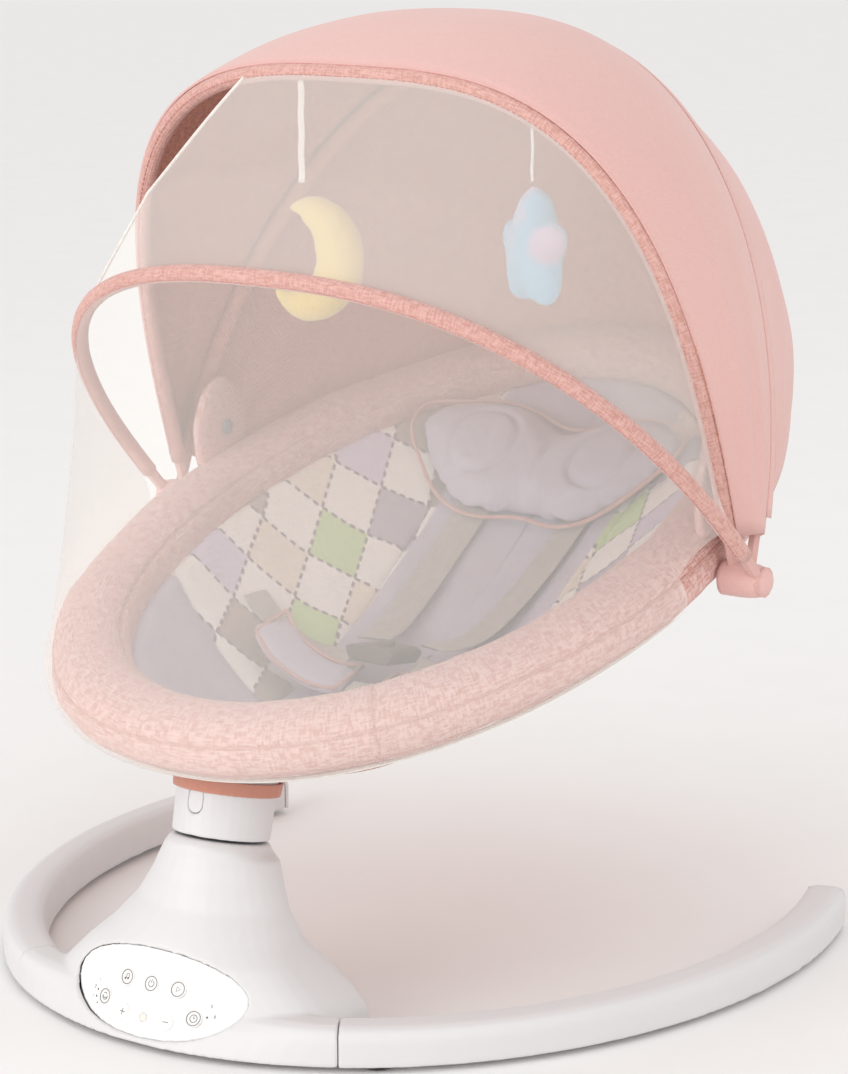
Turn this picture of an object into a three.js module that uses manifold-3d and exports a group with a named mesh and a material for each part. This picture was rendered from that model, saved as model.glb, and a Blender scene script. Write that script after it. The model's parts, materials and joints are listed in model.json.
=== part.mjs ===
// Baby swing: a C-shaped floor ring with a bell housing and a leaning neck, a cantilevered
// padded seat that swings about the neck, a folding hood on three bows, and a net.
// Units are millimetres, +Z is up, -Y is the front (the foot end of the seat).
import * as THREE from 'three';
import * as BufferGeometryUtils from 'three/addons/utils/BufferGeometryUtils.js';
import Module from 'manifold-3d';

const wasm = await Module();
wasm.setup();

// ---- Driving dimensions -------------------------------------------------------------
const gap = 0.3;                 // clearance between pieces that touch
const runningGap = 0.6;          // clearance between pieces that turn or slide

const ringHalfWidth = 270;       // floor ring, outer edge, half of its width
const ringHalfLength = 325;      // floor ring, outer edge, half of the full ellipse's length
const ringCentreY = 20;
const legWidth = 29;
const legHeight = 25;
const legBevel = 8;
const seamAngle = THREE.MathUtils.degToRad(28);     // ellipse angle where the legs start
const legEndAngle = THREE.MathUtils.degToRad(114);  // ellipse angle where the legs end
const capLength = 3;
const footRadius = 10;
const footHeight = 3;
const footStudRadius = 3;
const footStudLength = 6;

const neckY = -217;              // the swing axis crosses the housing's top here
const neckZ = 113;
const neckTilt = THREE.MathUtils.degToRad(13);
const neckRadius = 31;
const housingWall = 3;
const collarHeight = 39;
const collarWall = 3;
const buttonRoom = 4;            // free space behind the release button
const swivelGap = 1.6;
const spindleRadius = 8;
const spindleDepth = 78;         // how far the spindle reaches down inside the housing
const bearingRadius = 15;
const bearingHeight = 8;

const panelHalfWidth = 66;
const panelHalfHeight = 27;
const panelTilt = THREE.MathUtils.degToRad(25);
const panelCentreZ = 33;
const panelThickness = 2.4;
const panelCurve = 150;          // radius of the panel's face, seen from above
const keyRadius = 5.6;
const keyTravel = 0.8;
const underplateThickness = 1.8;

const rimHalfWidth = 188;        // seat frame tube's centreline
const rimFrontLength = 264;
const rimRearLength = 268;
const rimFrontPower = 2.1;       // roundness of the rim's front and rear halves
const rimRearPower = 1.88;
const rimCentreY = 12;
const rimLevel = 264;            // height of the rim plane at y = 0
const rimSlope = 0.302;          // rise of the rim plane per millimetre towards the rear
const frameTubeRadius = 9;
const padHalfWidth = 28;         // padded rim, across
const padHalfHeight = 20;        // padded rim, along the rim plane's normal
const padSlot = 12;              // the cover is open below, where brackets reach the tube
const seatDepth = 92;
const linerThickness = 12;
const slingThickness = 2;
const slingGap = 2;

const hingeY = 32;
const hingeZ = 261.5;
const hingePinRadius = 5;
const bowRadius = 4;
const bowEyeRadius = 10;
const bowEyeWidth = 7.4;
const layerPitch = 9;            // one bow's eye to the next, along the hinge pin
const hingeDepth = 24;
const canopyThickness = 2;
const netThickness = 1.2;
const canopyLift = 1;            // the cloth's clearance over a bow
const clothStart = 30;           // the cloth starts this far above the hinge axis
const hoodBulge = 5;
const netSag = 4;                // the lower net's middle hangs this far inwards
const hemGap = 3;                // hems hang this far outside the padded rim
const netEndAtHood = 0.57;       // the upper net's free edge, as shares of the two bows' runs
const netEndAtBow = 0.76;

const frontBow = { layer: 0, angle: 71.4, height: 334, power: 3.1 };
const midBow = { layer: 1, angle: 108, height: 343, power: 2 };
const netBow = { layer: 2, angle: 43.7, height: 288, power: 2.5 };
const rearRibs = [
  { angle: 125, height: 333, power: 2, in: 8 },
  { angle: 142, height: 316, power: 2, in: 18 },
];

const strapWidth = 24;
const strapThickness = 1.6;
const pillowHalfWidth = 102;
const pillowHalfLength = 50;
const pillowY = 154;

// ---- Colours ------------------------------------------------------------------------
const colour = {
  shell: 0xe2dedc, panel: 0xf8f8f8, rubber: 0x4a4543, steel: 0xb8bcc0, pink: 0xe3b4ae,
  salmon: 0xd9907c, lavender: 0xcfc6d3, net: 0xf3ece4, strap: 0xb8aea4, buckle: 0x5a4e4a,
  yellow: 0xf4dd8e, blue: 0xa9d2ea, copper: 0xb87333, board: 0x2e6b45, dark: 0x2c2c2e,
};

function material(color, roughness = 0.55, metalness = 0) {
  return new THREE.MeshStandardMaterial({ color, roughness, metalness });
}

// ---- Geometry helpers ---------------------------------------------------------------
const v3 = (x, y, z) => new THREE.Vector3(x, y, z);
const spow = (value, power) => Math.sign(value) * Math.abs(value) ** power;
const rad = THREE.MathUtils.degToRad;

function span(from, to, steps) {
  return Array.from({ length: steps + 1 }, (_, i) => from + ((to - from) * i) / steps);
}

function weld(geometry) {
  const plain = geometry.clone();
  plain.deleteAttribute('normal');
  plain.deleteAttribute('uv');
  return BufferGeometryUtils.mergeVertices(plain, 1e-4);
}

// Triangles that close a ring of points, in the ring's own winding.
function capFaces(ring) {
  const normal = v3(0, 0, 0);
  ring.forEach((a, i) => {
    const b = ring[(i + 1) % ring.length];
    normal.add(v3((a.y - b.y) * (a.z + b.z), (a.z - b.z) * (a.x + b.x), (a.x - b.x) * (a.y + b.y)));
  });
  normal.normalize();
  const side = Math.abs(normal.x) < 0.8 ? v3(1, 0, 0) : v3(0, 1, 0);
  const u = side.clone().cross(normal).normalize();
  const w = normal.clone().cross(u);
  const flat = ring.map((p) => new THREE.Vector2(p.dot(u), p.dot(w)));
  return THREE.ShapeUtils.triangulateShape(flat, []).map(([a, b, c]) => {
    const turn = flat[b].clone().sub(flat[a]).cross(flat[c].clone().sub(flat[a]));
    return turn > 0 ? [a, b, c] : [a, c, b];
  });
}

// Joins rings of equal point counts into one closed skin, capped unless it runs in a loop.
function skin(rings, looped = false, mirrored = false) {
  const count = rings[0].length;
  const positions = rings.flat().flatMap((p) => [p.x, p.y, p.z]);
  const faces = [];
  const bands = looped ? rings.length : rings.length - 1;
  for (let i = 0; i < bands; i += 1) {
    const next = ((i + 1) % rings.length) * count;
    for (let j = 0; j < count; j += 1) {
      const k = (j + 1) % count;
      const [a, b, c, d] = [i * count + j, i * count + k, next + k, next + j];
      if (mirrored && j >= count / 2) faces.push(a, b, d, b, c, d);
      else faces.push(a, b, c, a, c, d);
    }
  }
  if (!looped) {
    const last = (rings.length - 1) * count;
    capFaces(rings[0]).forEach(([a, b, c]) => faces.push(a, c, b));
    capFaces(rings[rings.length - 1]).forEach(([a, b, c]) => faces.push(last + a, last + b, last + c));
  }
  const geometry = new THREE.BufferGeometry();
  geometry.setAttribute('position', new THREE.Float32BufferAttribute(positions, 3));
  geometry.setIndex(faces);
  return faceOutwards(geometry);
}

function faceOutwards(geometry) {
  const points = geometry.getAttribute('position');
  const index = geometry.getIndex().array;
  const [a, b, c] = [v3(), v3(), v3()];
  let volume = 0;
  for (let i = 0; i < index.length; i += 3) {
    a.fromBufferAttribute(points, index[i]);
    b.fromBufferAttribute(points, index[i + 1]);
    c.fromBufferAttribute(points, index[i + 2]);
    volume += a.dot(b.cross(c));
  }
  if (volume < 0) {
    for (let i = 0; i < index.length; i += 3) {
      [index[i + 1], index[i + 2]] = [index[i + 2], index[i + 1]];
    }
  }
  return geometry;
}

function toSolid(geometry) {
  const welded = weld(geometry);
  return new wasm.Manifold(new wasm.Mesh({
    numProp: 3,
    vertProperties: new Float32Array(welded.getAttribute('position').array),
    triVerts: new Uint32Array(welded.getIndex().array),
  }));
}

function fromSolid(solid) {
  const mesh = solid.getMesh();
  const geometry = new THREE.BufferGeometry();
  geometry.setAttribute('position', new THREE.BufferAttribute(new Float32Array(mesh.vertProperties), 3));
  geometry.setIndex(new THREE.BufferAttribute(new Uint32Array(mesh.triVerts), 1));
  return geometry;
}

function join(first, ...others) {
  return fromSolid(others.reduce((sum, other) => sum.add(toSolid(other)), toSolid(first)));
}

function cut(first, ...tools) {
  return fromSolid(tools.reduce((rest, tool) => rest.subtract(toSolid(tool)), toSolid(first)));
}

// A turned piece about +Z from [radius, height] pairs.
function turned(profile, segments = 32) {
  const points = profile.map(([r, z]) => new THREE.Vector2(r, z));
  return new THREE.LatheGeometry(points, segments).rotateX(Math.PI / 2);
}

function disc(radius, low, high, segments = 32) {
  return turned([[0, low], [radius, low], [radius, high], [0, high]], segments);
}

function tube(outer, inner, low, high, segments = 32) {
  return turned([[inner, low], [outer, low], [outer, high], [inner, high], [inner, low]], segments);
}

function box(width, depth, height, x = 0, y = 0, z = 0) {
  return new THREE.BoxGeometry(width, depth, height).translate(x, y, z);
}

// A flat outline in X and Z, given depth along Y about its middle.
function plate(points, depth) {
  const shape = new THREE.Shape(points.map(([x, z]) => new THREE.Vector2(x, z)));
  const geometry = new THREE.ExtrudeGeometry(shape, { depth, bevelEnabled: false });
  return geometry.translate(0, 0, -depth / 2).rotateX(Math.PI / 2);
}

// ---- Scene --------------------------------------------------------------------------
const root = new THREE.Group();
const neck = new THREE.Group();   // +Z here is the swing axis, zero at the housing's top
neck.position.set(0, neckY, neckZ);
neck.rotation.x = -neckTilt;
root.add(neck);

function add(name, geometry, look, parent = root) {
  const mesh = new THREE.Mesh(weld(geometry), look);
  mesh.name = name;
  parent.add(mesh);
  return mesh;
}

const sides = [['left', -1], ['right', 1]];

// ---- Floor ring and legs ------------------------------------------------------------
function ringPoint(angle) {
  const x = ringHalfWidth * Math.sin(angle);
  return v3(x, ringCentreY - ringHalfLength * Math.cos(angle), 0);
}

function ringInward(angle) {
  const slope = v3(ringHalfWidth * Math.cos(angle), ringHalfLength * Math.sin(angle), 0).normalize();
  return v3(-slope.y, slope.x, 0);
}

// The leg's section: x is inward from the outer edge, y is up from the leg's underside.
function legSection(inset = 0) {
  return [
    [inset, inset], [inset, legHeight - legBevel], [legBevel * 0.3, legHeight - legBevel * 0.3],
    [legBevel, legHeight - inset], [legWidth - legBevel, legHeight - inset],
    [legWidth - legBevel * 0.3, legHeight - legBevel * 0.3],
    [legWidth - inset, legHeight - legBevel], [legWidth - inset, inset],
  ];
}

// lean is how far the bar's sides slope inwards at an angle, as a tangent.
function ringBar(from, to, steps, section = legSection(), lean = () => 0) {
  return skin(span(from, to, steps).map((angle) => {
    const edge = ringPoint(angle);
    const inward = ringInward(angle);
    const slope = lean(angle);
    return section.map(([x, z]) => (
      edge.clone().addScaledVector(inward, x + z * slope).setZ(footHeight + z)
    ));
  }));
}

function footPlace(angle) {
  return ringPoint(angle).addScaledVector(ringInward(angle), legWidth / 2);
}

function footHole(angle) {
  const place = footPlace(angle);
  const top = footHeight + footStudLength + gap;
  return disc(footStudRadius + gap, 0, top, 12).translate(place.x, place.y, 0);
}

const rearFootAngle = legEndAngle - rad(5);
const frontFootAngle = seamAngle + rad(5);
const seamGap = gap / ringHalfWidth;
const capAngle = capLength / ringHalfLength;

for (const [side, sign] of sides) {
  const legEnd = legEndAngle - capAngle - seamGap;
  const leg = ringBar(sign * (seamAngle + seamGap), sign * legEnd, 22);
  const rear = footHole(sign * rearFootAngle);
  const front = footHole(sign * frontFootAngle);
  add(`${side}_leg`, cut(leg, rear, front), material(colour.shell, 0.5));
  add(`${side}_leg_cap`, ringBar(sign * (legEnd + seamGap), sign * legEndAngle, 1, legSection(0.8)),
    material(colour.shell, 0.45));
  for (const [end, angle] of [['front', frontFootAngle], ['rear', rearFootAngle]]) {
    const foot = add(`${side}_${end}_foot`, turned([
      [0, 0], [footRadius - 1, 0], [footRadius, 1], [footRadius, footHeight - gap],
      [footStudRadius, footHeight - gap], [footStudRadius, footHeight + footStudLength],
      [0, footHeight + footStudLength],
    ], 12), material(colour.rubber, 0.9));
    foot.position.copy(footPlace(sign * angle));
  }
}

// ---- Bell housing -------------------------------------------------------------------
// Stations from the bottom to the neck: height, half width, front, back, squareness.
const bellSides = 32;
const bellFoot = -ringHalfLength + ringCentreY;
const bell = [
  { z: 0, half: 112, front: bellFoot + 1, back: neckY + 8, power: 3.4 },
  { z: 18, half: 106, front: bellFoot + 8.6, back: neckY + 9, power: 3.6 },
  { z: 28, half: 97, front: bellFoot + 13.2, back: neckY + 10, power: 3.8 },
  { z: 38, half: 86, front: bellFoot + 18, back: neckY + 11, power: 3.8 },
  { z: 48, half: 75, front: bellFoot + 23, back: neckY + 12.5, power: 3.4 },
  { z: 58, half: 65, front: bellFoot + 30, back: neckY + 14, power: 2.6 },
  { z: 74, half: 53.5, front: neckY - 46, back: neckY + 20, power: 2.1 },
  { z: 90, half: 45.5, front: neckY - 38.5, back: neckY + 26, power: 2 },
  { z: 103, half: 39.5, front: neckY - 34.5, back: neckY + 30, power: 2 },
];

function ringSag(x) {
  return ringHalfLength * (1 - Math.sqrt(Math.max(0, 1 - (x / ringHalfWidth) ** 2)));
}

function bellRing({ z, half, front, back, power }, inset, points = bellSides) {
  const middle = (front + back) / 2;
  const depth = (back - front) / 2 - inset;
  const lean = Math.tan(neckTilt) * (z / neckZ) ** 2;
  return span(0, 2 * Math.PI, points).slice(0, points).map((t) => {
    const x = (half - inset) * spow(Math.sin(t), 2 / power);
    const y = -depth * spow(Math.cos(t), 2 / power);
    return v3(x, middle + y + ringSag(x), z + footHeight * (1 - z / neckZ) - y * lean);
  });
}

function neckRing(radius, drop, points = bellSides) {
  const down = v3(0, -Math.sin(neckTilt), -Math.cos(neckTilt)).multiplyScalar(drop);
  return span(0, 2 * Math.PI, points).slice(0, points).map((t) => {
    const y = -radius * Math.cos(t);
    const flat = v3(radius * Math.sin(t), y * Math.cos(neckTilt), -y * Math.sin(neckTilt));
    return flat.add(down).add(v3(0, neckY, neckZ));
  });
}

function bellBody(inset) {
  const rings = bell.map((station) => bellRing(station, inset));
  rings.push(neckRing(neckRadius + 3 - inset, 5 + inset), neckRing(neckRadius - inset, inset));
  return skin(rings);
}

function inNeck(geometry) {
  return geometry.rotateX(-neckTilt).translate(0, neckY, neckZ);
}

function panelPoint(u, v, rise) {
  const frontY = bellFoot + 3 + (panelCentreZ - footHeight) * Math.tan(panelTilt);
  const y = frontY + v * Math.sin(panelTilt) + (u * u) / (2 * panelCurve) - rise * Math.cos(panelTilt);
  return v3(u, y, panelCentreZ + v * Math.cos(panelTilt) + rise * Math.sin(panelTilt));
}

// An egg outline: widest a little below its middle.
function panelRing(grow, rise, points = 28) {
  return span(0, 2 * Math.PI, points).slice(0, points).map((t) => {
    const v = (panelHalfHeight + grow) * Math.sin(t);
    const u = (panelHalfWidth + grow) * spow(Math.cos(t), 0.92) * (1 - 0.1 * Math.sin(t) ** 3);
    return panelPoint(u, v - 2, rise);
  });
}

function panelBody(grow, low, high) {
  const shrink = (scale, rise) => {
    const middle = panelPoint(0, -2, rise);
    return panelRing(grow, rise).map((p) => {
      const q = p.clone().sub(middle).multiplyScalar(scale).add(middle);
      return q.setY(q.y + ((q.x ** 2 - q.x * p.x) / (2 * panelCurve)));
    });
  };
  const front = [1, 0.55, 0.1].map((scale) => shrink(scale, high));
  const back = [0.1, 0.55, 1].map((scale) => shrink(scale, low));
  return skin([...back, ...front]);
}

const keyLayout = [
  ['speed_key', -35, -12], ['music_key', -20, 4], ['power_key', 0, 4], ['play_key', 20, 4],
  ['timer_key', 35, -12], ['volume_up_key', -17, -17], ['volume_down_key', 17, -17],
];

function keySolid(u, v, radius, low, high) {
  const place = panelPoint(u, v, 0);
  return disc(radius, low, high, 12).rotateX(Math.PI / 2 - panelTilt).translate(place.x, place.y, place.z);
}

const keyBack = -4;
const keyFront = 1.1;
const keyHoles = keyLayout.map(([, u, v]) => keySolid(u, v, keyRadius + gap, keyBack - 12, keyFront + 6));
const lensHole = keySolid(0, -17, 3 + gap, keyBack - 12, keyFront + 6);

// The bar under the panel leans back with it, and stands upright again at the leg seams.
function panelLean(angle) {
  const share = THREE.MathUtils.smoothstep(seamAngle - Math.abs(angle), 0, seamAngle * 0.55);
  return share * Math.tan(panelTilt);
}

const inletZ = 16;
const inletY = neckY + 9;
const housing = cut(
  join(bellBody(0), ringBar(-seamAngle, seamAngle, 20, legSection(), panelLean)),
  skin([...bell.map((station) => bellRing({ ...station, z: station.z - 0.01 }, housingWall)),
    neckRing(neckRadius - housingWall, housingWall + 2)]).translate(0, 0, -0.1),
  inNeck(disc(spindleRadius + 3, -20, 10, 24)),
  panelBody(gap, -panelThickness - gap, 8),
  ...keyHoles, lensHole,
  new THREE.CylinderGeometry(6, 6, 24, 16).translate(0, inletY, inletZ),
);
add('base_housing', housing, material(colour.shell, 0.5));

const underplate = skin([0, underplateThickness].map((rise) => (
  bellRing(bell[0], housingWall + gap + underplateThickness).map((p) => p.setZ(footHeight + rise))
)));
add('base_underplate', underplate, material(colour.shell, 0.7));

add('dc_inlet', cut(
  join(
    new THREE.CylinderGeometry(5.6, 5.6, 12, 16),
    new THREE.CylinderGeometry(8, 8, 2, 16).translate(0, -5, 0),
  ),
  new THREE.CylinderGeometry(3.2, 3.2, 10, 12).translate(0, 3, 0),
).translate(0, inletY - 3, inletZ), material(colour.dark, 0.4));

add('control_panel', cut(panelBody(0, -panelThickness, 0.7), ...keyHoles, lensHole),
  material(colour.panel, 0.25));
for (const [name, u, v] of keyLayout) {
  add(name, keySolid(u, v, keyRadius, keyBack, keyFront), material(colour.panel, 0.3));
}
add('indicator_lens', keySolid(0, -17, 3, keyBack, 0.8), material(colour.net, 0.15));

const boardPlace = panelPoint(0, -3, keyBack - keyTravel - 3);
add('control_board', box(74, 1.6, 34).rotateX(-panelTilt)
  .translate(0, boardPlace.y + 2, boardPlace.z), material(colour.board, 0.6));
add('speaker', turned([[0, 0], [16, 0], [16, 3], [10, 9], [0, 9]], 18)
  .translate(50, neckY - 22, footHeight + 2.6), material(colour.dark, 0.6));

// ---- Swing drive: bearings and coil in the housing, spindle and magnet on the seat ----
const bearingTop = -6;
const lowerBearingTop = -spindleDepth + bearingHeight + 14;
for (const [name, top] of [['upper_bearing', bearingTop], ['lower_bearing', lowerBearingTop]]) {
  add(name, tube(bearingRadius, spindleRadius + runningGap / 2, top - bearingHeight, top, 16),
    material(colour.steel, 0.3, 0.9), neck);
}
const magnetReach = -25;         // the magnet sits in front of the spindle, over the coil
const armTop = lowerBearingTop + 14;
add('drive_coil', tube(8, 3.5, armTop - 11, armTop - 3, 14).translate(0, magnetReach, 0),
  material(colour.copper, 0.4, 0.7), neck);

const flangeBottom = swivelGap + 0.4;
const flangeRadius = neckRadius - collarWall - gap;
add('spindle', turned([
  [0, -spindleDepth], [spindleRadius, -spindleDepth], [spindleRadius, flangeBottom],
  [flangeRadius, flangeBottom], [flangeRadius, flangeBottom + 4], [0, flangeBottom + 4],
], 20), material(colour.steel, 0.35, 0.9), neck);
add('magnet_arm', cut(
  join(tube(13, spindleRadius + gap, armTop, armTop + 4, 16), box(14, 20, 4, 0, magnetReach + 3, armTop + 2)),
  disc(5 + gap, armTop - 1, armTop + 5, 14).translate(0, magnetReach, 0),
), material(colour.shell, 0.6), neck);
add('drive_magnet', disc(5, armTop - 1, armTop + 4, 14).translate(0, magnetReach, 0),
  material(colour.steel, 0.25, 0.9), neck);

// ---- Collar and release button ------------------------------------------------------
const collarTop = swivelGap + collarHeight;
const buttonHeight = 17;
const buttonWidth = 11;
const buttonCentre = swivelGap + collarHeight * 0.58;

function pill(width, height, from, to) {
  const shape = new THREE.Shape();
  const r = width / 2;
  const h = height / 2 - r;
  shape.absarc(0, h, r, 0, Math.PI, false);
  shape.absarc(0, -h, r, Math.PI, 2 * Math.PI, false);
  shape.closePath();
  const settings = { depth: to - from, bevelEnabled: false, curveSegments: 6 };
  const geometry = new THREE.ExtrudeGeometry(shape, settings);
  return geometry.translate(0, 0, from).rotateX(Math.PI / 2).translate(0, 0, buttonCentre);
}

add('collar', cut(
  turned([
    [neckRadius - collarWall, swivelGap], [neckRadius - 0.8, swivelGap], [neckRadius, swivelGap + 0.8],
    [neckRadius + 0.8, collarTop], [neckRadius - collarWall, collarTop],
    [neckRadius - collarWall, swivelGap],
  ], 32),
  pill(buttonWidth + runningGap, buttonHeight + runningGap, neckRadius / 2, neckRadius + 5),
), material(colour.shell, 0.5), neck);
add('release_button', pill(buttonWidth, buttonHeight, neckRadius - collarWall - 0.5, neckRadius - 0.4),
  material(colour.shell, 0.4), neck);

// ---- Seat frame and rim -------------------------------------------------------------
const rimTilt = Math.atan(rimSlope);
const rimNormal = v3(0, -Math.sin(rimTilt), Math.cos(rimTilt));
const rimHeight = (y) => rimLevel + rimSlope * y;

// The rim's outline in plan: an egg with a longer front, moved inwards by inset.
function rimPoint(angle, inset = 0, scale = 1) {
  const front = Math.cos(angle) > 0;
  const power = front ? rimFrontPower : rimRearPower;
  const length = (front ? rimFrontLength : rimRearLength) - inset;
  const x = (rimHalfWidth - inset) * scale * spow(Math.sin(angle), 2 / power);
  const y = rimCentreY - length * scale * spow(Math.cos(angle), 2 / power);
  return v3(x, y, rimHeight(y));
}

function rimSweep(section, from, to, steps, looped) {
  const angles = span(from, to, steps);
  if (looped) angles.pop();
  return skin(angles.map((angle) => {
    const place = rimPoint(angle);
    const ahead = rimPoint(angle + 0.01).sub(rimPoint(angle - 0.01)).normalize();
    const outward = ahead.clone().cross(rimNormal).normalize();
    return section.map(([out, up]) => (
      place.clone().addScaledVector(outward, out).addScaledVector(rimNormal, up)
    ));
  }), looped);
}

function circleSection(radius, points) {
  const turns = span(0, 2 * Math.PI, points).slice(0, points);
  return turns.map((t) => [radius * Math.cos(t), radius * Math.sin(t)]);
}

add('seat_frame', rimSweep(circleSection(frameTubeRadius, 6), -Math.PI, Math.PI, 36, true),
  material(colour.steel, 0.4, 0.8));

// A C-shaped section, open at the bottom.
function padSection() {
  const inner = frameTubeRadius + gap;
  const innerEdge = Math.asin(padSlot / 2 / (inner + 2));
  const outerEdge = Math.asin(padSlot / 2 / padHalfWidth);
  const down = -Math.PI / 2;
  const outerArc = span(down + outerEdge, down + 2 * Math.PI - outerEdge, 12)
    .map((t) => [padHalfWidth * spow(Math.cos(t), 0.9), padHalfHeight * spow(Math.sin(t), 0.9)]);
  const innerArc = span(down + 2 * Math.PI - innerEdge, down + innerEdge, 7)
    .map((t) => [(inner + 2) * Math.cos(t), (inner + 2) * Math.sin(t)]);
  return [...outerArc, ...innerArc];
}

add('rim_pad', rimSweep(padSection(), -Math.PI, Math.PI, 36, true), material(colour.pink, 0.9));

// ---- Seat bowl: liner over a sling --------------------------------------------------
const bowlInset = padHalfWidth + 1.5;

function bowlFraction(x, y) {
  const front = y < rimCentreY;
  const power = front ? rimFrontPower : rimRearPower;
  const length = (front ? rimFrontLength : rimRearLength) - bowlInset;
  return ((Math.abs(x) / (rimHalfWidth - bowlInset)) ** power
    + (Math.abs(y - rimCentreY) / length) ** power) ** (1 / power);
}

function bowlHeight(x, y) {
  const fraction = Math.min(1, bowlFraction(x, y));
  const deeper = 1 - (y + 30) / 520;
  return rimHeight(y) - seatDepth * deeper * (1 - fraction ** 2.3);
}

function bowlRing(scale, drop, points = 30) {
  return span(0, 2 * Math.PI, points).slice(0, points).map((angle) => {
    const p = rimPoint(angle, bowlInset, scale);
    return p.setZ(bowlHeight(p.x, p.y) - drop);
  });
}

function bowlShell(top, bottom, edge = 1) {
  const scales = [0.12, 0.45, 0.72, 0.9, 1].map((s) => s * edge);
  const under = scales.map((s) => bowlRing(s, bottom));
  const over = scales.map((s) => bowlRing(s, top)).reverse();
  return skin([...under, ...over]);
}

add('seat_pad', bowlShell(0, linerThickness, 0.995), material(colour.lavender, 0.9));
const slingTop = linerThickness + slingGap;
add('sling', bowlShell(slingTop, slingTop + slingThickness), material(colour.salmon, 0.9));

// ---- Seat bracket: a plug in the collar, a saddle and a rib that grips the tube --------
const ribTop = -frameTubeRadius - gap;
const ribBottom = -padHalfHeight - 5;
const ribHalf = 4;               // half of the rib's thickness
const ribReach = rad(15);        // the rib runs this far round the rim, each way from its front
const rib = rimSweep([
  [-ribHalf, ribTop], [-ribHalf, ribBottom], [ribHalf, ribBottom], [ribHalf, ribTop],
], -ribReach, ribReach, 8, false);
const plugRadius = neckRadius - collarWall - buttonRoom;
const plugBottom = flangeBottom + 4 + gap;
const bracketShell = (radius, height, sag) => span(0, 2 * Math.PI, 20).slice(0, 20).map((t) => (
  v3(radius * Math.sin(t), -radius * Math.cos(t) + sag, height)
));
const saddlePlace = rimPoint(0).addScaledVector(rimNormal, ribBottom);
const saddleHalfWidth = 44;
const saddleHalfDepth = 16;
const saddleReach = 0.5;         // its back edge reaches this far in under the sling's edge
const saddleBack = bowlInset + saddleReach - saddleHalfDepth;
const saddleSag = 1.4;           // its ends follow the rim's curve, and a little more
const saddleRing = (drop) => span(0, 2 * Math.PI, 20).slice(0, 20).map((t) => {
  const x = saddleHalfWidth * Math.sin(t);
  const behind = saddleBack - saddleHalfDepth * Math.cos(t);
  return v3(x, saddlePlace.y + behind + ringSag(x) * saddleSag, saddlePlace.z - drop + behind * rimSlope);
});
const plugRings = [
  bracketShell(plugRadius, plugBottom, 0), bracketShell(plugRadius, collarTop + 5, 0),
].map((ring) => ring.map((p) => p.applyEuler(new THREE.Euler(-neckTilt, 0, 0)).add(v3(0, neckY, neckZ))));
const bracket = join(skin([...plugRings, saddleRing(4), saddleRing(-1)]), rib);
add('seat_bracket', bracket, material(colour.steel, 0.5, 0.6));

const skirtTop = collarTop - 2;
const skirtHeight = 9;
add('neck_skirt', turned([
  [neckRadius + 1.4, skirtTop - skirtHeight], [neckRadius + 3, skirtTop - skirtHeight],
  [neckRadius + 4, skirtTop], [neckRadius + 2.4, skirtTop], [neckRadius + 1.4, skirtTop - skirtHeight],
], 24), material(colour.salmon, 0.9), neck);

// ---- Canopy hinges ------------------------------------------------------------------
const rimOuter = rimHalfWidth + padHalfWidth;
const eyeStart = rimOuter + 4;
const eyeMiddle = (layer) => eyeStart + layer * layerPitch + bowEyeWidth / 2;
const pinStart = rimOuter + 1;
const pinCap = eyeMiddle(2) + bowEyeWidth / 2 + runningGap;
const pinCapWidth = 3;

function alongX(geometry, x, y, z) {
  return geometry.rotateY(Math.PI / 2).translate(x, y, z);
}

for (const [side, sign] of sides) {
  const lowSide = hingeY - hingeDepth / 2;
  const tubeBottom = rimHeight(lowSide) - frameTubeRadius * 1.05 - gap;
  const floor = rimHeight(lowSide) - padHalfHeight - 5;
  const tubeX = rimHalfWidth - 2;
  const outline = [
    [tubeX - 4, tubeBottom], [tubeX - 4, floor], [rimOuter + 3, floor], [rimOuter + 3, hingeZ + 12],
    [rimOuter + 0.8, hingeZ + 12], [rimOuter + 0.8, floor + 4], [tubeX + 4, floor + 4],
    [tubeX + 4, tubeBottom],
  ].map(([x, z]) => [sign * x, z]);
  const arm = plate(sign > 0 ? outline : outline.reverse(), hingeDepth).translate(0, hingeY, 0);
  const pin = alongX(turned([
    [0, pinStart], [hingePinRadius, pinStart], [hingePinRadius, pinCap], [bowEyeRadius + 1, pinCap],
    [bowEyeRadius, pinCap + pinCapWidth], [0, pinCap + pinCapWidth],
  ], 20), 0, hingeY, hingeZ);
  if (sign < 0) pin.rotateY(Math.PI).translate(0, 0, 2 * hingeZ);
  add(`${side}_canopy_hinge`, join(arm, faceOutwards(weld(pin))), material(colour.shell, 0.5));
}

// ---- Bows ---------------------------------------------------------------------------
// A point of an arch in a plane through the hinge axis. turn is 0 at +X and pi at -X.
// grow widens the arch in its plane; off moves it square to the plane, towards the rear.
function archPoint({ angle, height, power, off = 0 }, half, turn, grow = 0) {
  const x = (half + grow) * spow(Math.cos(turn), 2 / power);
  const reach = (height + grow) * spow(Math.sin(turn), 2 / power);
  const [c, s] = [Math.cos(rad(angle)), Math.sin(rad(angle))];
  return v3(x, hingeY - reach * c + off * s, hingeZ + reach * s + off * c);
}

const bowHalf = (bow) => eyeMiddle(bow.layer);

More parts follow.
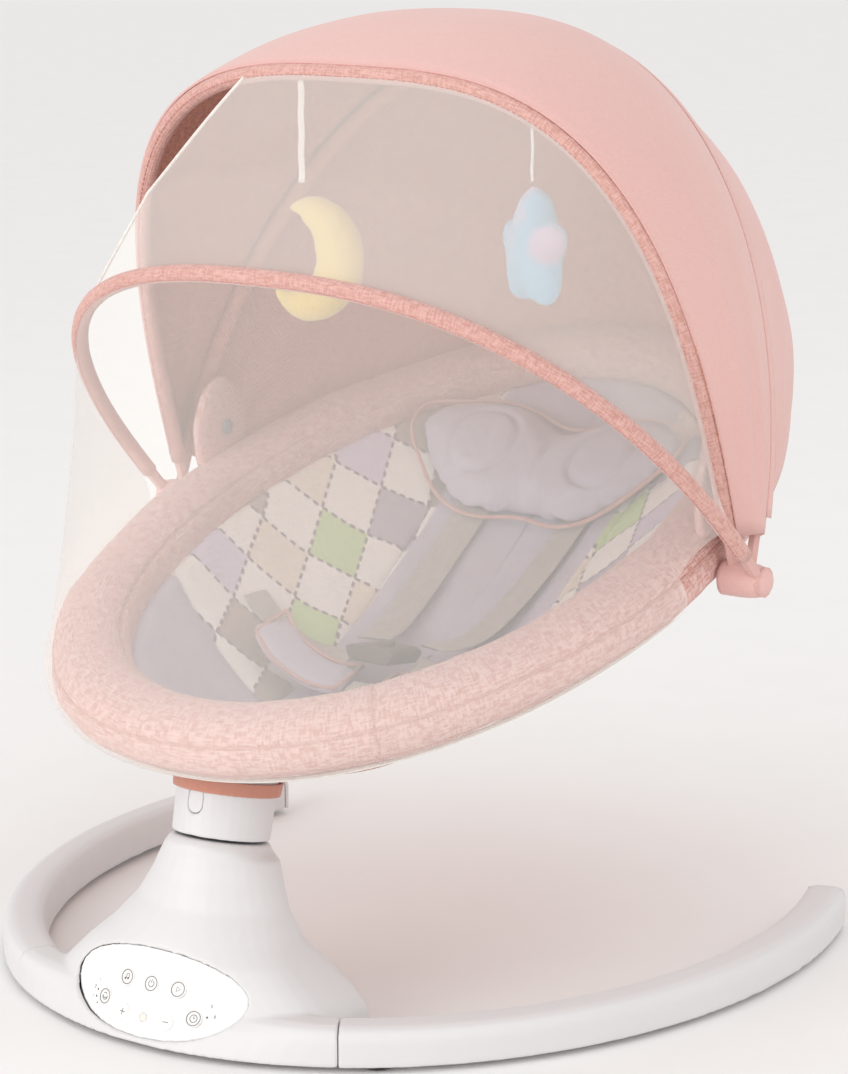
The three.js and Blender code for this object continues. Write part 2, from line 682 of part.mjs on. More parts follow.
function bowSolid(bow) {
  const start = Math.asin((bowEyeRadius / bow.height) ** (bow.power / 2)) * 0.6;
  const points = span(start, Math.PI - start, 48).map((turn) => archPoint(bow, bowHalf(bow), turn));
  const shape = new THREE.Shape(circleSection(bowRadius, 6).map(([x, y]) => new THREE.Vector2(x, y)));
  const path = new THREE.CatmullRomCurve3(points);
  const arch = new THREE.ExtrudeGeometry(shape, { steps: 32, extrudePath: path, bevelEnabled: false });
  const eyes = sides.map(([, sign]) => (
    alongX(disc(bowEyeRadius, -bowEyeWidth / 2, bowEyeWidth / 2, 12), sign * bowHalf(bow), hingeY, hingeZ)
  ));
  const boreRadius = hingePinRadius + runningGap / 2;
  const bore = alongX(disc(boreRadius, -2 * rimOuter, 2 * rimOuter, 12), 0, hingeY, hingeZ);
  return cut(join(faceOutwards(weld(arch)), ...eyes), bore);
}

add('front_bow', bowSolid(frontBow), material(colour.shell, 0.4));
add('mid_bow', bowSolid(midBow), material(colour.shell, 0.4));
add('net_bow', bowSolid(netBow), material(colour.pink, 0.8));

// ---- Cloth between arches -----------------------------------------------------------
// A rib is a function of share, 0 at the right hinge and 1 at the left, and of thickness.
// The outer face is split along the inner face's diagonals, so a twisted patch keeps its thickness.
function clothSolid(ribs, shares, thickness) {
  return skin(shares.map((share) => {
    const inner = ribs.map((ribAt) => ribAt(share, 0));
    const outer = ribs.map((ribAt) => ribAt(share, thickness)).reverse();
    return [...inner, ...outer];
  }), false, true);
}

// The turn at a share of the cloth's run, which starts a set reach above the hinge.
function clothTurn({ height, power }, share) {
  const start = Math.asin((clothStart / height) ** (power / 2));
  return start + share * (Math.PI - 2 * start);
}

function archRib(arch, half, lift) {
  return (share, thickness) => archPoint(arch, half, clothTurn(arch, share), lift + thickness);
}

function between(a, b, share) {
  const mix = (key) => a[key] + (b[key] - a[key]) * share;
  return { angle: mix('angle'), height: mix('height'), power: mix('power') };
}

const cover = bowRadius + canopyLift;
const hoodShares = span(0, 1, 24);
const hoodSplit = 1;             // half of the gap between the two hood panels, over the mid bow

const frontHood = [
  archRib(frontBow, bowHalf(frontBow), cover),
  ...[0.25, 0.5, 0.75].map((share) => {
    const half = bowHalf(frontBow) + (bowHalf(midBow) - bowHalf(frontBow)) * share;
    return archRib(between(frontBow, midBow, share), half, cover + hoodBulge * Math.sin(Math.PI * share));
  }),
  archRib({ ...midBow, off: -hoodSplit }, bowHalf(midBow), cover),
];
add('canopy_front', clothSolid(frontHood, hoodShares, canopyThickness), material(colour.pink, 0.9));

// The rear panel ends in a hem outside the padded rim.
const rearHemShares = [0.08, 0.92];
const rearHood = [
  archRib({ ...midBow, off: hoodSplit }, bowHalf(midBow), cover),
  ...rearRibs.map((rib) => archRib(rib, bowHalf(midBow) - rib.in, cover)),
  (share, thickness) => {
    const run = rearHemShares[0] + share * (rearHemShares[1] - rearHemShares[0]);
    const p = rimPoint(Math.PI / 2 + Math.PI * run, -(padHalfWidth + hemGap + thickness));
    return p.addScaledVector(rimNormal, padHalfHeight * 0.2);
  },
];
add('canopy_rear', clothSolid(rearHood, hoodShares, canopyThickness), material(colour.pink, 0.9));

// The upper net stops short of the left hinge: its free edge runs from the hood down to the net bow.
const netOff = bowRadius + 1;    // the net's edge stands off a bow's centre plane
const upperNetRibs = [
  (share, thickness) => archPoint({ ...frontBow, off: -netOff }, bowHalf(frontBow),
    clothTurn(frontBow, share * netEndAtHood), thickness),
  (share, thickness) => {
    const middle = between(frontBow, netBow, 0.5);
    return archPoint(middle, (bowHalf(frontBow) + bowHalf(netBow)) / 2,
      clothTurn(middle, (share * (netEndAtHood + netEndAtBow)) / 2), thickness - 2);
  },
  (share, thickness) => archPoint({ ...netBow, off: netOff }, bowHalf(netBow),
    clothTurn(netBow, share * netEndAtBow), thickness),
];
add('upper_net', clothSolid(upperNetRibs, span(0, 1, 18), netThickness), material(colour.net, 0.8));

// The lower net drops from the net bow to a hem around the rim's outside.
function hemPoint(share, rise, thickness) {
  const p = rimPoint(Math.PI / 2 - Math.PI * share, -(padHalfWidth + hemGap + thickness));
  return p.addScaledVector(rimNormal, rise);
}

const netTop = archRib({ ...netBow, off: -netOff }, bowHalf(netBow), 0);
const lowerNetRibs = [
  netTop,
  (share, thickness) => {
    const middle = netTop(share, thickness).lerp(hemPoint(share, padHalfHeight * 0.5, thickness), 0.5);
    return middle.add(v3(-netSag * Math.cos(Math.PI * share), netSag * Math.sin(Math.PI * share), 0));
  },
  (share, thickness) => hemPoint(share, padHalfHeight * 0.5, thickness),
  (share, thickness) => hemPoint(share, -padHalfHeight * 0.6, thickness),
];
add('lower_net', clothSolid(lowerNetRibs, span(0.03, 0.97, 24), netThickness), material(colour.net, 0.8));

// ---- Harness and pillow -------------------------------------------------------------
// A flat band that follows the liner through points [x, y, lift].
function band(points, width, thickness, steps = 12) {
  const path = new THREE.CatmullRomCurve3(points.map(([x, y, lift]) => v3(x, y, bowlHeight(x, y) + lift)));
  return skin(span(0, 1, steps).map((t) => {
    const p = path.getPoint(t);
    const ahead = path.getTangent(t);
    const e = 4;
    const up = v3(
      bowlHeight(p.x - e, p.y) - bowlHeight(p.x + e, p.y),
      bowlHeight(p.x, p.y - e) - bowlHeight(p.x, p.y + e), 2 * e,
    ).normalize();
    const across = ahead.clone().cross(up).normalize().multiplyScalar(width / 2);
    const rise = across.clone().cross(ahead).normalize().multiplyScalar(thickness);
    return [
      p.clone().sub(across), p.clone().add(across),
      p.clone().add(across).add(rise), p.clone().sub(across).add(rise),
    ];
  }));
}

const buckleY = -42;
const harnessRise = 14;          // the padding under the buckle holds the harness up
for (const [side, sign] of sides) {
  add(`${side}_shoulder_strap`, band([
    [sign * 42, 128, 3], [sign * 40, 76, 4], [sign * 34, 18, 9],
    [sign * 24, buckleY + 22, 12 + harnessRise],
  ], strapWidth, strapThickness), material(colour.strap, 0.8));
  add(`${side}_waist_strap`, band([
    [sign * 118, -28, 3], [sign * 80, -34, 6], [sign * 46, buckleY + 8, 8 + harnessRise / 2],
    [sign * 24, buckleY + 3, 12 + harnessRise],
  ], strapWidth * 0.8, strapThickness), material(colour.strap, 0.8));
  add(`${side}_hip_pad`, band([
    [sign * 14, buckleY - 20, 7 + harnessRise], [sign * 34, buckleY - 24, 7 + harnessRise],
    [sign * 62, buckleY - 22, 8 + harnessRise], [sign * 84, buckleY - 12, 9 + harnessRise],
  ], 34, 8, 8), material(colour.lavender, 0.9));
}
const buckleZ = bowlHeight(0, buckleY) + 15 + harnessRise;
add('harness_buckle', plate([
  [-19, 0], [-15, -6], [15, -6], [19, 0], [19, 3], [14, 5], [-14, 5], [-19, 3],
], 34).rotateX(rad(-8)).translate(0, buckleY, buckleZ + 6), material(colour.buckle, 0.4));
add('crotch_strap', band([
  [0, buckleY - 44, 6], [0, buckleY - 32, 7 + harnessRise], [0, buckleY - 20, 9 + harnessRise],
], strapWidth * 0.8, strapThickness, 4), material(colour.strap, 0.8));

const pillowRing = (scale, lift) => span(0, 2 * Math.PI, 22).slice(0, 22).map((t) => {
  const x = pillowHalfWidth * scale * spow(Math.cos(t), 0.85);
  const y = pillowY + pillowHalfLength * scale * spow(Math.sin(t), 0.85);
  return v3(x, y, bowlHeight(x, y) + lift);
});
add('head_pillow', skin([
  pillowRing(0.15, 6), pillowRing(0.6, 6), pillowRing(0.9, 6), pillowRing(1, 12),
  pillowRing(0.92, 24), pillowRing(0.6, 32), pillowRing(0.15, 34),
]), material(colour.lavender, 0.9));

// ---- Hanging toys -------------------------------------------------------------------
// Both hang from a ring that the front bow's inside edge carries.
function bowUnderside(x) {
  const turn = Math.acos(spow(x / bowHalf(frontBow), frontBow.power / 2));
  return archPoint(frontBow, bowHalf(frontBow), turn, -bowRadius);
}

function toyRibbon(name, x, width, length) {
  const top = bowUnderside(x);
  const z = top.z - gap - 1 - length / 2;
  return add(name, box(width, 1.6, length, top.x, top.y, z), material(colour.net, 0.7));
}

const moonX = -42;
const moonLength = 66;
const starX = 133;
const starLength = 34;
toyRibbon('moon_ribbon', moonX, 5, moonLength);
toyRibbon('star_cord', starX, 2.4, starLength);

function plush(outline, depth, x, z, look, name) {
  const top = bowUnderside(x);
  const rings = [[0.55, -1], [0.86, -0.72], [1, -0.2], [1, 0.2], [0.86, 0.72], [0.55, 1]];
  const centre = outline.reduce((sum, p) => sum.add(p), new THREE.Vector2()).divideScalar(outline.length);
  const geometry = skin(rings.map(([scale, side]) => outline.map((p) => {
    const q = p.clone().sub(centre).multiplyScalar(scale).add(centre);
    return v3(q.x, (side * depth) / 2, q.y);
  })));
  const mesh = add(name, geometry, look);
  mesh.position.set(x, top.y, z);
}

function hangPoint(x, length) {
  return bowUnderside(x).z - gap - 1 - length - gap;
}

// A crescent: an outer arc and a flatter inner one, hung by its upper horn.
const moonRadius = 46;
const moonArc = span(rad(97), rad(-118), 13)
  .map((t) => new THREE.Vector2(moonRadius * Math.cos(t), moonRadius * Math.sin(t)));
const moonInner = span(rad(-104), rad(80), 8)
  .map((t) => new THREE.Vector2(-20 + 42 * Math.cos(t), 2 + 38 * Math.sin(t)));
const moonOutline = [...moonArc, ...moonInner];
plush(moonOutline, 30, moonX, hangPoint(moonX, moonLength) - 46.2, material(colour.yellow, 0.95), 'moon_toy');

const starOutline = span(0, 2 * Math.PI, 25).slice(0, 25).map((t) => {
  const r = 31 + 7 * Math.cos(5 * t);
  return new THREE.Vector2(r * Math.sin(t) * 0.86, r * Math.cos(t));
});
plush(starOutline, 26, starX, hangPoint(starX, starLength) - 38.2, material(colour.blue, 0.95), 'star_toy');

// ---- Origin: bottom centre of the whole ---------------------------------------------
root.updateMatrixWorld(true);
const bounds = new THREE.Box3().setFromObject(root, true);
root.position.y = -(bounds.min.y + bounds.max.y) / 2;
root.position.z = -bounds.min.z;

export default root;
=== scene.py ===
import json
import math
import bpy
import bmesh
from mathutils import Matrix, Vector, noise


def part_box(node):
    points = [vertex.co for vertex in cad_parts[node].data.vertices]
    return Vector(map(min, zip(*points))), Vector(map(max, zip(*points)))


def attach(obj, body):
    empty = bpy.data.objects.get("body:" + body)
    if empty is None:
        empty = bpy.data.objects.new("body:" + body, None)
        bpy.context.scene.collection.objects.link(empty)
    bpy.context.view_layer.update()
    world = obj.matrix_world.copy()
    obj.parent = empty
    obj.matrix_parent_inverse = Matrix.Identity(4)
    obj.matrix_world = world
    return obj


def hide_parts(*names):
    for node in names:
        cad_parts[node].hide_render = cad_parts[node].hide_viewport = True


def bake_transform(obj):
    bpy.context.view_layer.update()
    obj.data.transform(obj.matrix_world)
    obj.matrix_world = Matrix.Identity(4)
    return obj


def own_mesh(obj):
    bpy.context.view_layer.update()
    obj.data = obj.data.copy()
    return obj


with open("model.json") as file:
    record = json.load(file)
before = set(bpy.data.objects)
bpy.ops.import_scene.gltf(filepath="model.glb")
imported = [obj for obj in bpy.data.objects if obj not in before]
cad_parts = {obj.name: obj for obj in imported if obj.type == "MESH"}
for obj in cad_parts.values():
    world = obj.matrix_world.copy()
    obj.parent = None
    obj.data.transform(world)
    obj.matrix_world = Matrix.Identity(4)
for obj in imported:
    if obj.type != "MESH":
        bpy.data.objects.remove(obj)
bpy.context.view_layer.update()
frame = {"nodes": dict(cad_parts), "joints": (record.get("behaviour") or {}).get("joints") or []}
print("frame loaded")

joints = {j["name"]: j for j in frame["joints"]}
foldAxisPoint = Vector(joints["canopy_fold"]["pos_m"])
hinge = {"y": 32.0, "z": 261.5}
rowShift = hinge["y"] / 1000 - foldAxisPoint.y  # the row frame's origin, along Y from the part's own


def at(x, y, z):
    # millimetres from the part's own origin, to metres in the row frame
    return Vector((x / 1000, y / 1000 - rowShift, z / 1000))


def spow(value, power):
    return math.copysign(abs(value) ** power, value)


def spread(low, high, steps):
    return [low + (high - low) * i / steps for i in range(steps + 1)]


def smooth(low, high, value):
    t = max(0.0, min(1.0, (value - low) / (high - low)))
    return t * t * (3 - 2 * t)


def rough(x, y, z, size):
    # smooth noise from -1 to 1, with features of about that many millimetres
    return noise.noise(Vector((x / size, y / size, z / size)))


# Materials: a wrapped socket does arithmetic, and look.node makes every other node.
class Wire:
    def __init__(self, look, socket):
        self.look = look
        self.socket = socket

    def combine(self, operation, first, second=None):
        values = {0: first} if second is None else {0: first, 1: second}
        return self.look.node("ShaderNodeMath", {"operation": operation}, values)

    def __add__(self, other):
        return self.combine("ADD", self, other)

    def __radd__(self, other):
        return self.combine("ADD", other, self)

    def __sub__(self, other):
        return self.combine("SUBTRACT", self, other)

    def __rsub__(self, other):
        return self.combine("SUBTRACT", other, self)

    def __mul__(self, other):
        return self.combine("MULTIPLY", self, other)

    def __rmul__(self, other):
        return self.combine("MULTIPLY", other, self)

    def __truediv__(self, other):
        return self.combine("DIVIDE", self, other)

    def __lt__(self, other):
        return self.combine("LESS_THAN", self, other)

    def __gt__(self, other):
        return self.combine("GREATER_THAN", self, other)


class Look:
    def __init__(self, name, **constants):
        self.material = bpy.data.materials.new(name)
        self.material.use_nodes = True
        self.tree = self.material.node_tree
        self.tree.nodes.clear()
        self.output = self.tree.nodes.new("ShaderNodeOutputMaterial")
        self.shader = self.tree.nodes.new("ShaderNodeBsdfPrincipled")
        self.tree.links.new(self.shader.outputs[0], self.output.inputs[0])
        for key, value in constants.items():
            self.shader.inputs[key.replace("_", " ")].default_value = value

    def node(self, kind, settings, values, output=0):
        made = self.tree.nodes.new(kind)
        for key, value in settings.items():
            if key == "stops":
                self.fill(made.color_ramp, value)
            else:
                setattr(made, key, value)
        for key, value in values.items():
            if isinstance(value, Wire):
                self.tree.links.new(value.socket, made.inputs[key])
            else:
                made.inputs[key].default_value = value
        return Wire(self, made.outputs[output])

    def fill(self, ramp, stops):
        while len(ramp.elements) > 1:
            ramp.elements.remove(ramp.elements[-1])
        for i, (place, color) in enumerate(stops):
            element = ramp.elements[0] if i == 0 else ramp.elements.new(place)
            element.position = place
            element.color = (*color, 1)

    def feed(self, **wires):
        for key, wire in wires.items():
            self.tree.links.new(wire.socket, self.shader.inputs[key.replace("_", " ")])

    def place(self):
        return self.node("ShaderNodeTexCoord", {}, {}, "Object")

    def sheetPlace(self):
        return self.node("ShaderNodeTexCoord", {}, {}, "UV")

    def grain(self, where, scale, detail=3.0):
        return self.node("ShaderNodeTexNoise", {}, {"Vector": where, "Scale": scale, "Detail": detail}, 0)

    def bands(self, where, scale, direction):
        return self.node(
            "ShaderNodeTexWave", {"bands_direction": direction},
            {"Vector": where, "Scale": scale, "Distortion": 0.4, "Detail": 0.0}, 1)

    def mix(self, factor, first, second):
        return self.node(
            "ShaderNodeMix", {"data_type": "RGBA"}, {0: factor, 6: first, 7: second}, 2)

    def bump(self, height, strength, distance):
        self.feed(Normal=self.node(
            "ShaderNodeBump", {}, {"Height": height, "Strength": strength, "Distance": distance}))


def shade(hexCode):
    # a colour written as in a paint chart, to the linear values a shader takes
    channels = [int(hexCode[i:i + 2], 16) / 255 for i in (0, 2, 4)]
    return tuple(c / 12.92 if c <= 0.04045 else ((c + 0.055) / 1.055) ** 2.4 for c in channels)


def full(color):
    return (*color, 1)


def moulded(name, color, roughness, coat=0.0, grainScale=900):
    look = Look(name, Coat_Weight=coat, Coat_Roughness=0.1, IOR=1.46)
    where = look.place()
    slow = look.grain(where, 14)
    fine = look.grain(where, grainScale, 4.0)
    darker = tuple(c * 0.965 for c in color)
    look.feed(Base_Color=look.mix(slow, full(color), full(darker)))
    look.feed(Roughness=fine * 0.10 + (roughness - 0.05))
    look.bump(fine, 0.08, 0.0002)
    return look.material


def woven(name, light, dark, pitch=1.1, heather=0.5, depth=0.5):
    # light and dark yarns crossing, with slubs; pitch is one yarn in millimetres
    look = Look(name, Roughness=0.92, Sheen_Weight=0.25, Sheen_Roughness=0.5)
    look.shader.inputs["Specular IOR Level"].default_value = 0.2
    where = look.sheetPlace()
    scale = 1000 / pitch / (2 * math.pi)
    across = look.bands(where, scale, "X")
    along = look.bands(where, scale, "Y")
    stretchedX = look.node("ShaderNodeMapping", {}, {0: where, 3: (150.0, 780.0, 1.0)})
    stretchedY = look.node("ShaderNodeMapping", {}, {0: where, 3: (780.0, 150.0, 1.0)})
    slub = look.grain(stretchedX, 1.0, 2.0) + look.grain(stretchedY, 1.0, 2.0)
    cloud = look.grain(look.place(), 9, 2.0)
    tone = (slub - 1.0) * (heather * 3.0) + 0.5 + (cloud - 0.5) * 0.3
    yarn = look.node("ShaderNodeValToRGB", {"stops": [(0.25, dark), (0.75, light)]}, {0: tone})
    look.feed(Base_Color=yarn)
    look.bump(across * along + slub * 0.4, depth, 0.0004)
    return look.material


# Colours are the shades that the real fabrics and plastics have under soft light; the sling's salmon and its brown yarn
# also carry painted shade, the shade that lies under the seat.
paint = {
    "shell": shade("DFDDDD"), "panel": shade("F7F7F6"), "ink": shade("6E6B6A"),
    "rubber": shade("45403E"),
    "pinkInner": shade("E4B09E"), "pinkInnerDark": shade("C78F7F"), "salmon": shade("D39B8A"),
    "lavender": shade("D0C7D3"), "lavenderDark": shade("C0B6C6"), "webbing": shade("C9C0B8"),
    "webbingDark": shade("B1A89F"), "buckle": shade("62554F"), "net": shade("FBF7F2"),
    "moon": shade("F6DE8D"), "star": shade("A6D3EC"), "starTip": shade("D9C3DC"),
    "steel": shade("A9ACAF"), "copper": shade("A9683A"), "board": shade("2E6B45"),
    "dark": shade("2F2D2D"), "white": shade("F4F1EC"),
}

shellPlastic = moulded("shellPlastic", paint["shell"], 0.42)
panelPlastic = moulded("panelPlastic", paint["panel"], 0.2, coat=0.6, grainScale=300)
keyPlastic = moulded("keyPlastic", shade("EFEDEB"), 0.35)
lensPlastic = moulded("lensPlastic", shade("D9D4CC"), 0.15, coat=0.8)
rubberGrip = moulded("rubberGrip", paint["rubber"], 0.8)
bucklePlastic = moulded("bucklePlastic", paint["buckle"], 0.38)
hiddenPlastic = moulded("hiddenPlastic", paint["dark"], 0.55)
inkPrint = moulded("inkPrint", paint["ink"], 0.5)
coilCopper = moulded("coilCopper", paint["copper"], 0.35)
boardGreen = moulded("boardGreen", paint["board"], 0.5)
snapGrey = moulded("snapGrey", shade("8F8D90"), 0.3)
hingePink = moulded("hingePink", shade("DDB3AB"), 0.75)
hoodCloth = woven("hoodCloth", shade("E6BDB7"), shade("DFB2AB"), pitch=0.7, heather=0.16, depth=0.25)
hoodInside = woven("hoodInside", paint["pinkInner"], paint["pinkInnerDark"], pitch=1.3, heather=0.9)
rimCloth = woven("rimCloth", shade("E9C6BF"), shade("D19E94"), pitch=1.2, heather=1.0)
bindingCloth = woven("bindingCloth", shade("DFB2A9"), shade("CB988E"), pitch=0.9, heather=0.5)
# painted shade: the sling and the collar skirt take a darker salmon and a brown yarn, the shade under the seat painted
# into the cloth's colour
slingClothPaintedShade = woven("slingClothPaintedShade", paint["salmon"], shade("BC7965"), pitch=1.2, heather=0.6)
lavenderCloth = woven("lavenderCloth", paint["lavender"], paint["lavenderDark"], pitch=0.6, heather=0.2,
                      depth=0.3)
webbingCloth = woven("webbingCloth", paint["webbing"], paint["webbingDark"], pitch=1.5, heather=0.4,
                     depth=0.9)
hemCloth = woven("hemCloth", paint["white"], shade("E4DCD4"), pitch=1.0, heather=0.3)


def brushedSteel():
    look = Look("brushedSteel", Metallic=1.0)
    fine = look.grain(look.place(), 700)
    look.feed(Base_Color=look.mix(fine, full(paint["steel"]), full(shade("8C8F92"))))
    look.feed(Roughness=fine * 0.2 + 0.3)
    return look.material


def plushCloth(name, light, dark, tip=None):
    look = Look(name, Roughness=1.0, Sheen_Weight=0.6, Sheen_Roughness=0.4)
    look.shader.inputs["Specular IOR Level"].default_value = 0.1
    where = look.place()
    pile = look.grain(where, 900, 4.0)
    clump = look.grain(where, 160, 3.0)
    base = look.mix(clump, full(dark), full(light))
    if tip:
        patch = look.node("ShaderNodeValToRGB", {"stops": [(0.5, (0, 0, 0)), (0.62, (1, 1, 1))]},
                          {0: look.grain(where, 26, 1.0)})
        base = look.mix(patch, base, full(tip))
    look.feed(Base_Color=base)
    look.bump(pile + clump, 0.7, 0.0012)
    return look.material


# The net's threads lie under a millimetre apart; what is between them is clear.
def netCloth(name, cover):
    look = Look(name, Roughness=0.9)
    where = look.sheetPlace()
    threads = look.bands(where, 420, "X") + look.bands(where, 420, "Y")
    drift = look.grain(look.place(), 6, 2.0)
    look.feed(Base_Color=look.mix(drift, full(paint["net"]), full(shade("F4EEE8"))))
    look.feed(Alpha=threads * 0.06 + cover + drift * 0.08)
    return look.material


steelLook = brushedSteel()
moonPlush = plushCloth("moonPlush", paint["moon"], shade("EFCF73"))
starPlush = plushCloth("starPlush", paint["star"], shade("8CC2E4"), paint["starTip"])
upperMesh = netCloth("upperMesh", 0.34)
lowerMesh = netCloth("lowerMesh", 0.21)
print("materials made")


# Meshes
def link(name, mesh, *looks):
    made = bpy.data.objects.new(name, mesh)
    bpy.context.scene.collection.objects.link(made)
    for look in looks:
        made.data.materials.append(look)
    return made


def skin(name, rows, look, wrapRows=False, wrapCols=False, capped=False):
    # rows of points, joined row to row; UVs run in metres along the cloth
    count, width = len(rows), len(rows[0])
    mesh = bpy.data.meshes.new(name)
    faces, corners = [], []
    across = [0.0]
    middle = rows[count // 2]
    for j in range(width):
        across.append(across[-1] + (middle[(j + 1) % width] - middle[j]).length)
    down = [0.0]
    for i in range(count):
        a, b = rows[i], rows[(i + 1) % count]
        down.append(down[-1] + (b[width // 2] - a[width // 2]).length)
    for i in range(count if wrapRows else count - 1):
        for j in range(width if wrapCols else width - 1):
            k, l = (i + 1) % count, (j + 1) % width
            faces.append((i * width + j, i * width + l, k * width + l, k * width + j))
            corners.append([(across[j], down[i]), (across[j + 1], down[i]),
                            (across[j + 1], down[i + 1]), (across[j], down[i + 1])])
    if capped:
        for i in (0, count - 1):
            faces.append(tuple(i * width + j for j in range(width)))
            corners.append([(across[j], down[i]) for j in range(width)])
    mesh.from_pydata([p for row in rows for p in row], [], faces)
    layer = mesh.uv_layers.new(name="cloth")
    for polygon, places in zip(mesh.polygons, corners):
        for loop, place in zip(polygon.loop_indices, places):
            layer.data[loop].uv = place
    mesh.polygons.foreach_set("use_smooth", [True] * len(mesh.polygons))
    squareUp(mesh)
    return link(name, mesh, look)


def squareUp(mesh):
    edit = bmesh.new()
    edit.from_mesh(mesh)
    bmesh.ops.recalc_face_normals(edit, faces=edit.faces)
    edit.to_mesh(mesh)
    edit.free()


def settle(piece):
    # applies every modifier on the piece
    graph = bpy.context.evaluated_depsgraph_get()
    made = bpy.data.meshes.new_from_object(piece.evaluated_get(graph))
    piece.modifiers.clear()
    piece.data = made
    made.polygons.foreach_set("use_smooth", [True] * len(made.polygons))
    return piece


def change(piece, kind, **settings):
    modifier = piece.modifiers.new(kind.lower(), kind)
    for key, value in settings.items():
        setattr(modifier, key, value)
    return modifier


def give(piece, body, slotName=None, *nodes):
    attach(piece, body)
    if nodes:
        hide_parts(*nodes)
    return piece


def nodeCopy(name, node, look):
    mesh = frame["nodes"][node].data.copy()
    mesh.materials.clear()
    edit = bmesh.new()
    edit.from_mesh(mesh)
    bmesh.ops.remove_doubles(edit, verts=edit.verts, dist=0.00002)
    edit.to_mesh(mesh)
    edit.free()
    return link(name, mesh, look)


def moulding(name, node, look, body, slotName, voxel=0.0014, rounds=6, grow=0.0):
    # a moulded part with the small radii a tool leaves on it
    piece = nodeCopy(name, node, look)
    change(piece, "REMESH", mode="VOXEL", voxel_size=voxel, use_smooth_shade=True)
    change(piece, "SMOOTH", factor=0.5, iterations=rounds)
    settle(piece)
    if grow:
        for vertex in piece.data.vertices:
            vertex.co += vertex.normal * grow
    return give(piece, body, slotName, node)


def stuffed(name, source, pressure, cap, voxel=0.005, frames=20):
    # blows a closed form up with Cloth, and keeps each point within its cap
    change(source, "REMESH", mode="VOXEL", voxel_size=voxel, use_smooth_shade=True)
    settle(source)
    before = [v.co.copy() for v in source.data.vertices]
    cloth = change(source, "CLOTH")
    cloth.settings.use_pressure = True
    cloth.settings.uniform_pressure_force = pressure
    cloth.settings.effector_weights.gravity = 0.0
    cloth.settings.quality = 5
    cloth.point_cache.frame_start = 1
    cloth.point_cache.frame_end = frames
    scene = bpy.context.scene
    for step in range(1, frames + 1):
        scene.frame_set(step)
    settle(source)
    scene.frame_set(1)
    for vertex, old in zip(source.data.vertices, before):
        move = vertex.co - old
        if move.length > cap:
            vertex.co = old + move.normalized() * cap
    change(source, "SMOOTH", factor=0.5, iterations=3)
    change(source, "SUBSURF", levels=1)
    return settle(source)


def tube(name, points, look, radius, sides=12, closed=False, flat=1.0, up=Vector((0, 0, 1))):
    # a round or flattened cord along points, with UVs
    rows = []
    total = len(points)
    for i, p in enumerate(points):
        ahead = points[(i + 1) % total] if closed or i < total - 1 else p
        behind = points[i - 1] if closed or i > 0 else p
        way = (ahead - behind).normalized()
        side = way.cross(up).normalized()
        top = side.cross(way)
        size = radius(i / (total - 1)) if callable(radius) else radius
        rows.append([p + side * (size * math.cos(t)) + top * (size * flat * math.sin(t))
                     for t in spread(0, 2 * math.pi, sides)[:-1]])
    return skin(name, rows, look, wrapRows=closed, wrapCols=True, capped=not closed)


def joined(name, parts):
    # one piece from several of the same material set
    with bpy.context.temp_override(active_object=parts[0], selected_editable_objects=parts):
        bpy.ops.object.join()
    parts[0].name = name
    return parts[0]


# Base: housing, legs, underplate, feet
moulding("base_shell", "base_housing", shellPlastic, "base", "base_shell", 0.0014, 8)
for side in ("left", "right"):
    moulding(f"{side}_leg_shell", f"{side}_leg", shellPlastic, "base", "base_shell", 0.0016, 8)
    moulding(f"{side}_leg_end", f"{side}_leg_cap", shellPlastic, "base", "base_shell", 0.0008, 3)
    for end in ("front", "rear"):
        moulding(f"{side}_{end}_pad", f"{side}_{end}_foot", rubberGrip, "base", "rubber", 0.0007, 3)
moulding("base_bottom", "base_underplate", shellPlastic, "base", "base_shell", 0.0012, 3)
moulding("panel_face", "control_panel", panelPlastic, "base", "panel", 0.0008, 4, grow=0.0006)
moulding("lens_dome", "indicator_lens", lensPlastic, "base", "lens", 0.0003, 3)
moulding("collar_shell", "collar", shellPlastic, "seat", "base_shell", 0.0010, 5)
moulding("release_key", "release_button", shellPlastic, "release_button", "base_shell", 0.0005, 4)
print("shells made")

carriedOver = {
    "upper_bearing": steelLook, "lower_bearing": steelLook, "drive_coil": coilCopper,
    "spindle": steelLook, "magnet_arm": hiddenPlastic, "drive_magnet": steelLook,
    "dc_inlet": hiddenPlastic, "control_board": boardGreen, "speaker": hiddenPlastic,
    "seat_frame": steelLook, "seat_bracket": steelLook, "front_bow": hingePink, "mid_bow": hingePink,
    "net_bow": hingePink,
}
for node, look in carriedOver.items():
    slots = frame["nodes"][node].material_slots
    if len(slots) == 0:
        frame["nodes"][node].data.materials.append(look)
    for entry in slots:
        entry.material = look

# Control panel: the face leans back and curves round the base.
panel = {"lean": math.radians(25), "y": -305 + 3 + 30 * math.tan(math.radians(25)), "z": 33.0, "curve": 300.0}


def onPanel(u, v, rise=0.0):
    c, s = math.cos(panel["lean"]), math.sin(panel["lean"])
    return at(u, panel["y"] + v * s + u * u / panel["curve"] - rise * c, panel["z"] + v * c + rise * s)


def panelOut(u):
    return (onPanel(u, 0, 10) - onPanel(u, 0)).normalized()


def faceTop(node, u, v):
    # how far a node stands out of the panel's face at that place
    start, out = onPanel(u, v), panelOut(u)
    return max((vertex.co - start).dot(out) for vertex in frame["nodes"][node].data.vertices) * 1000


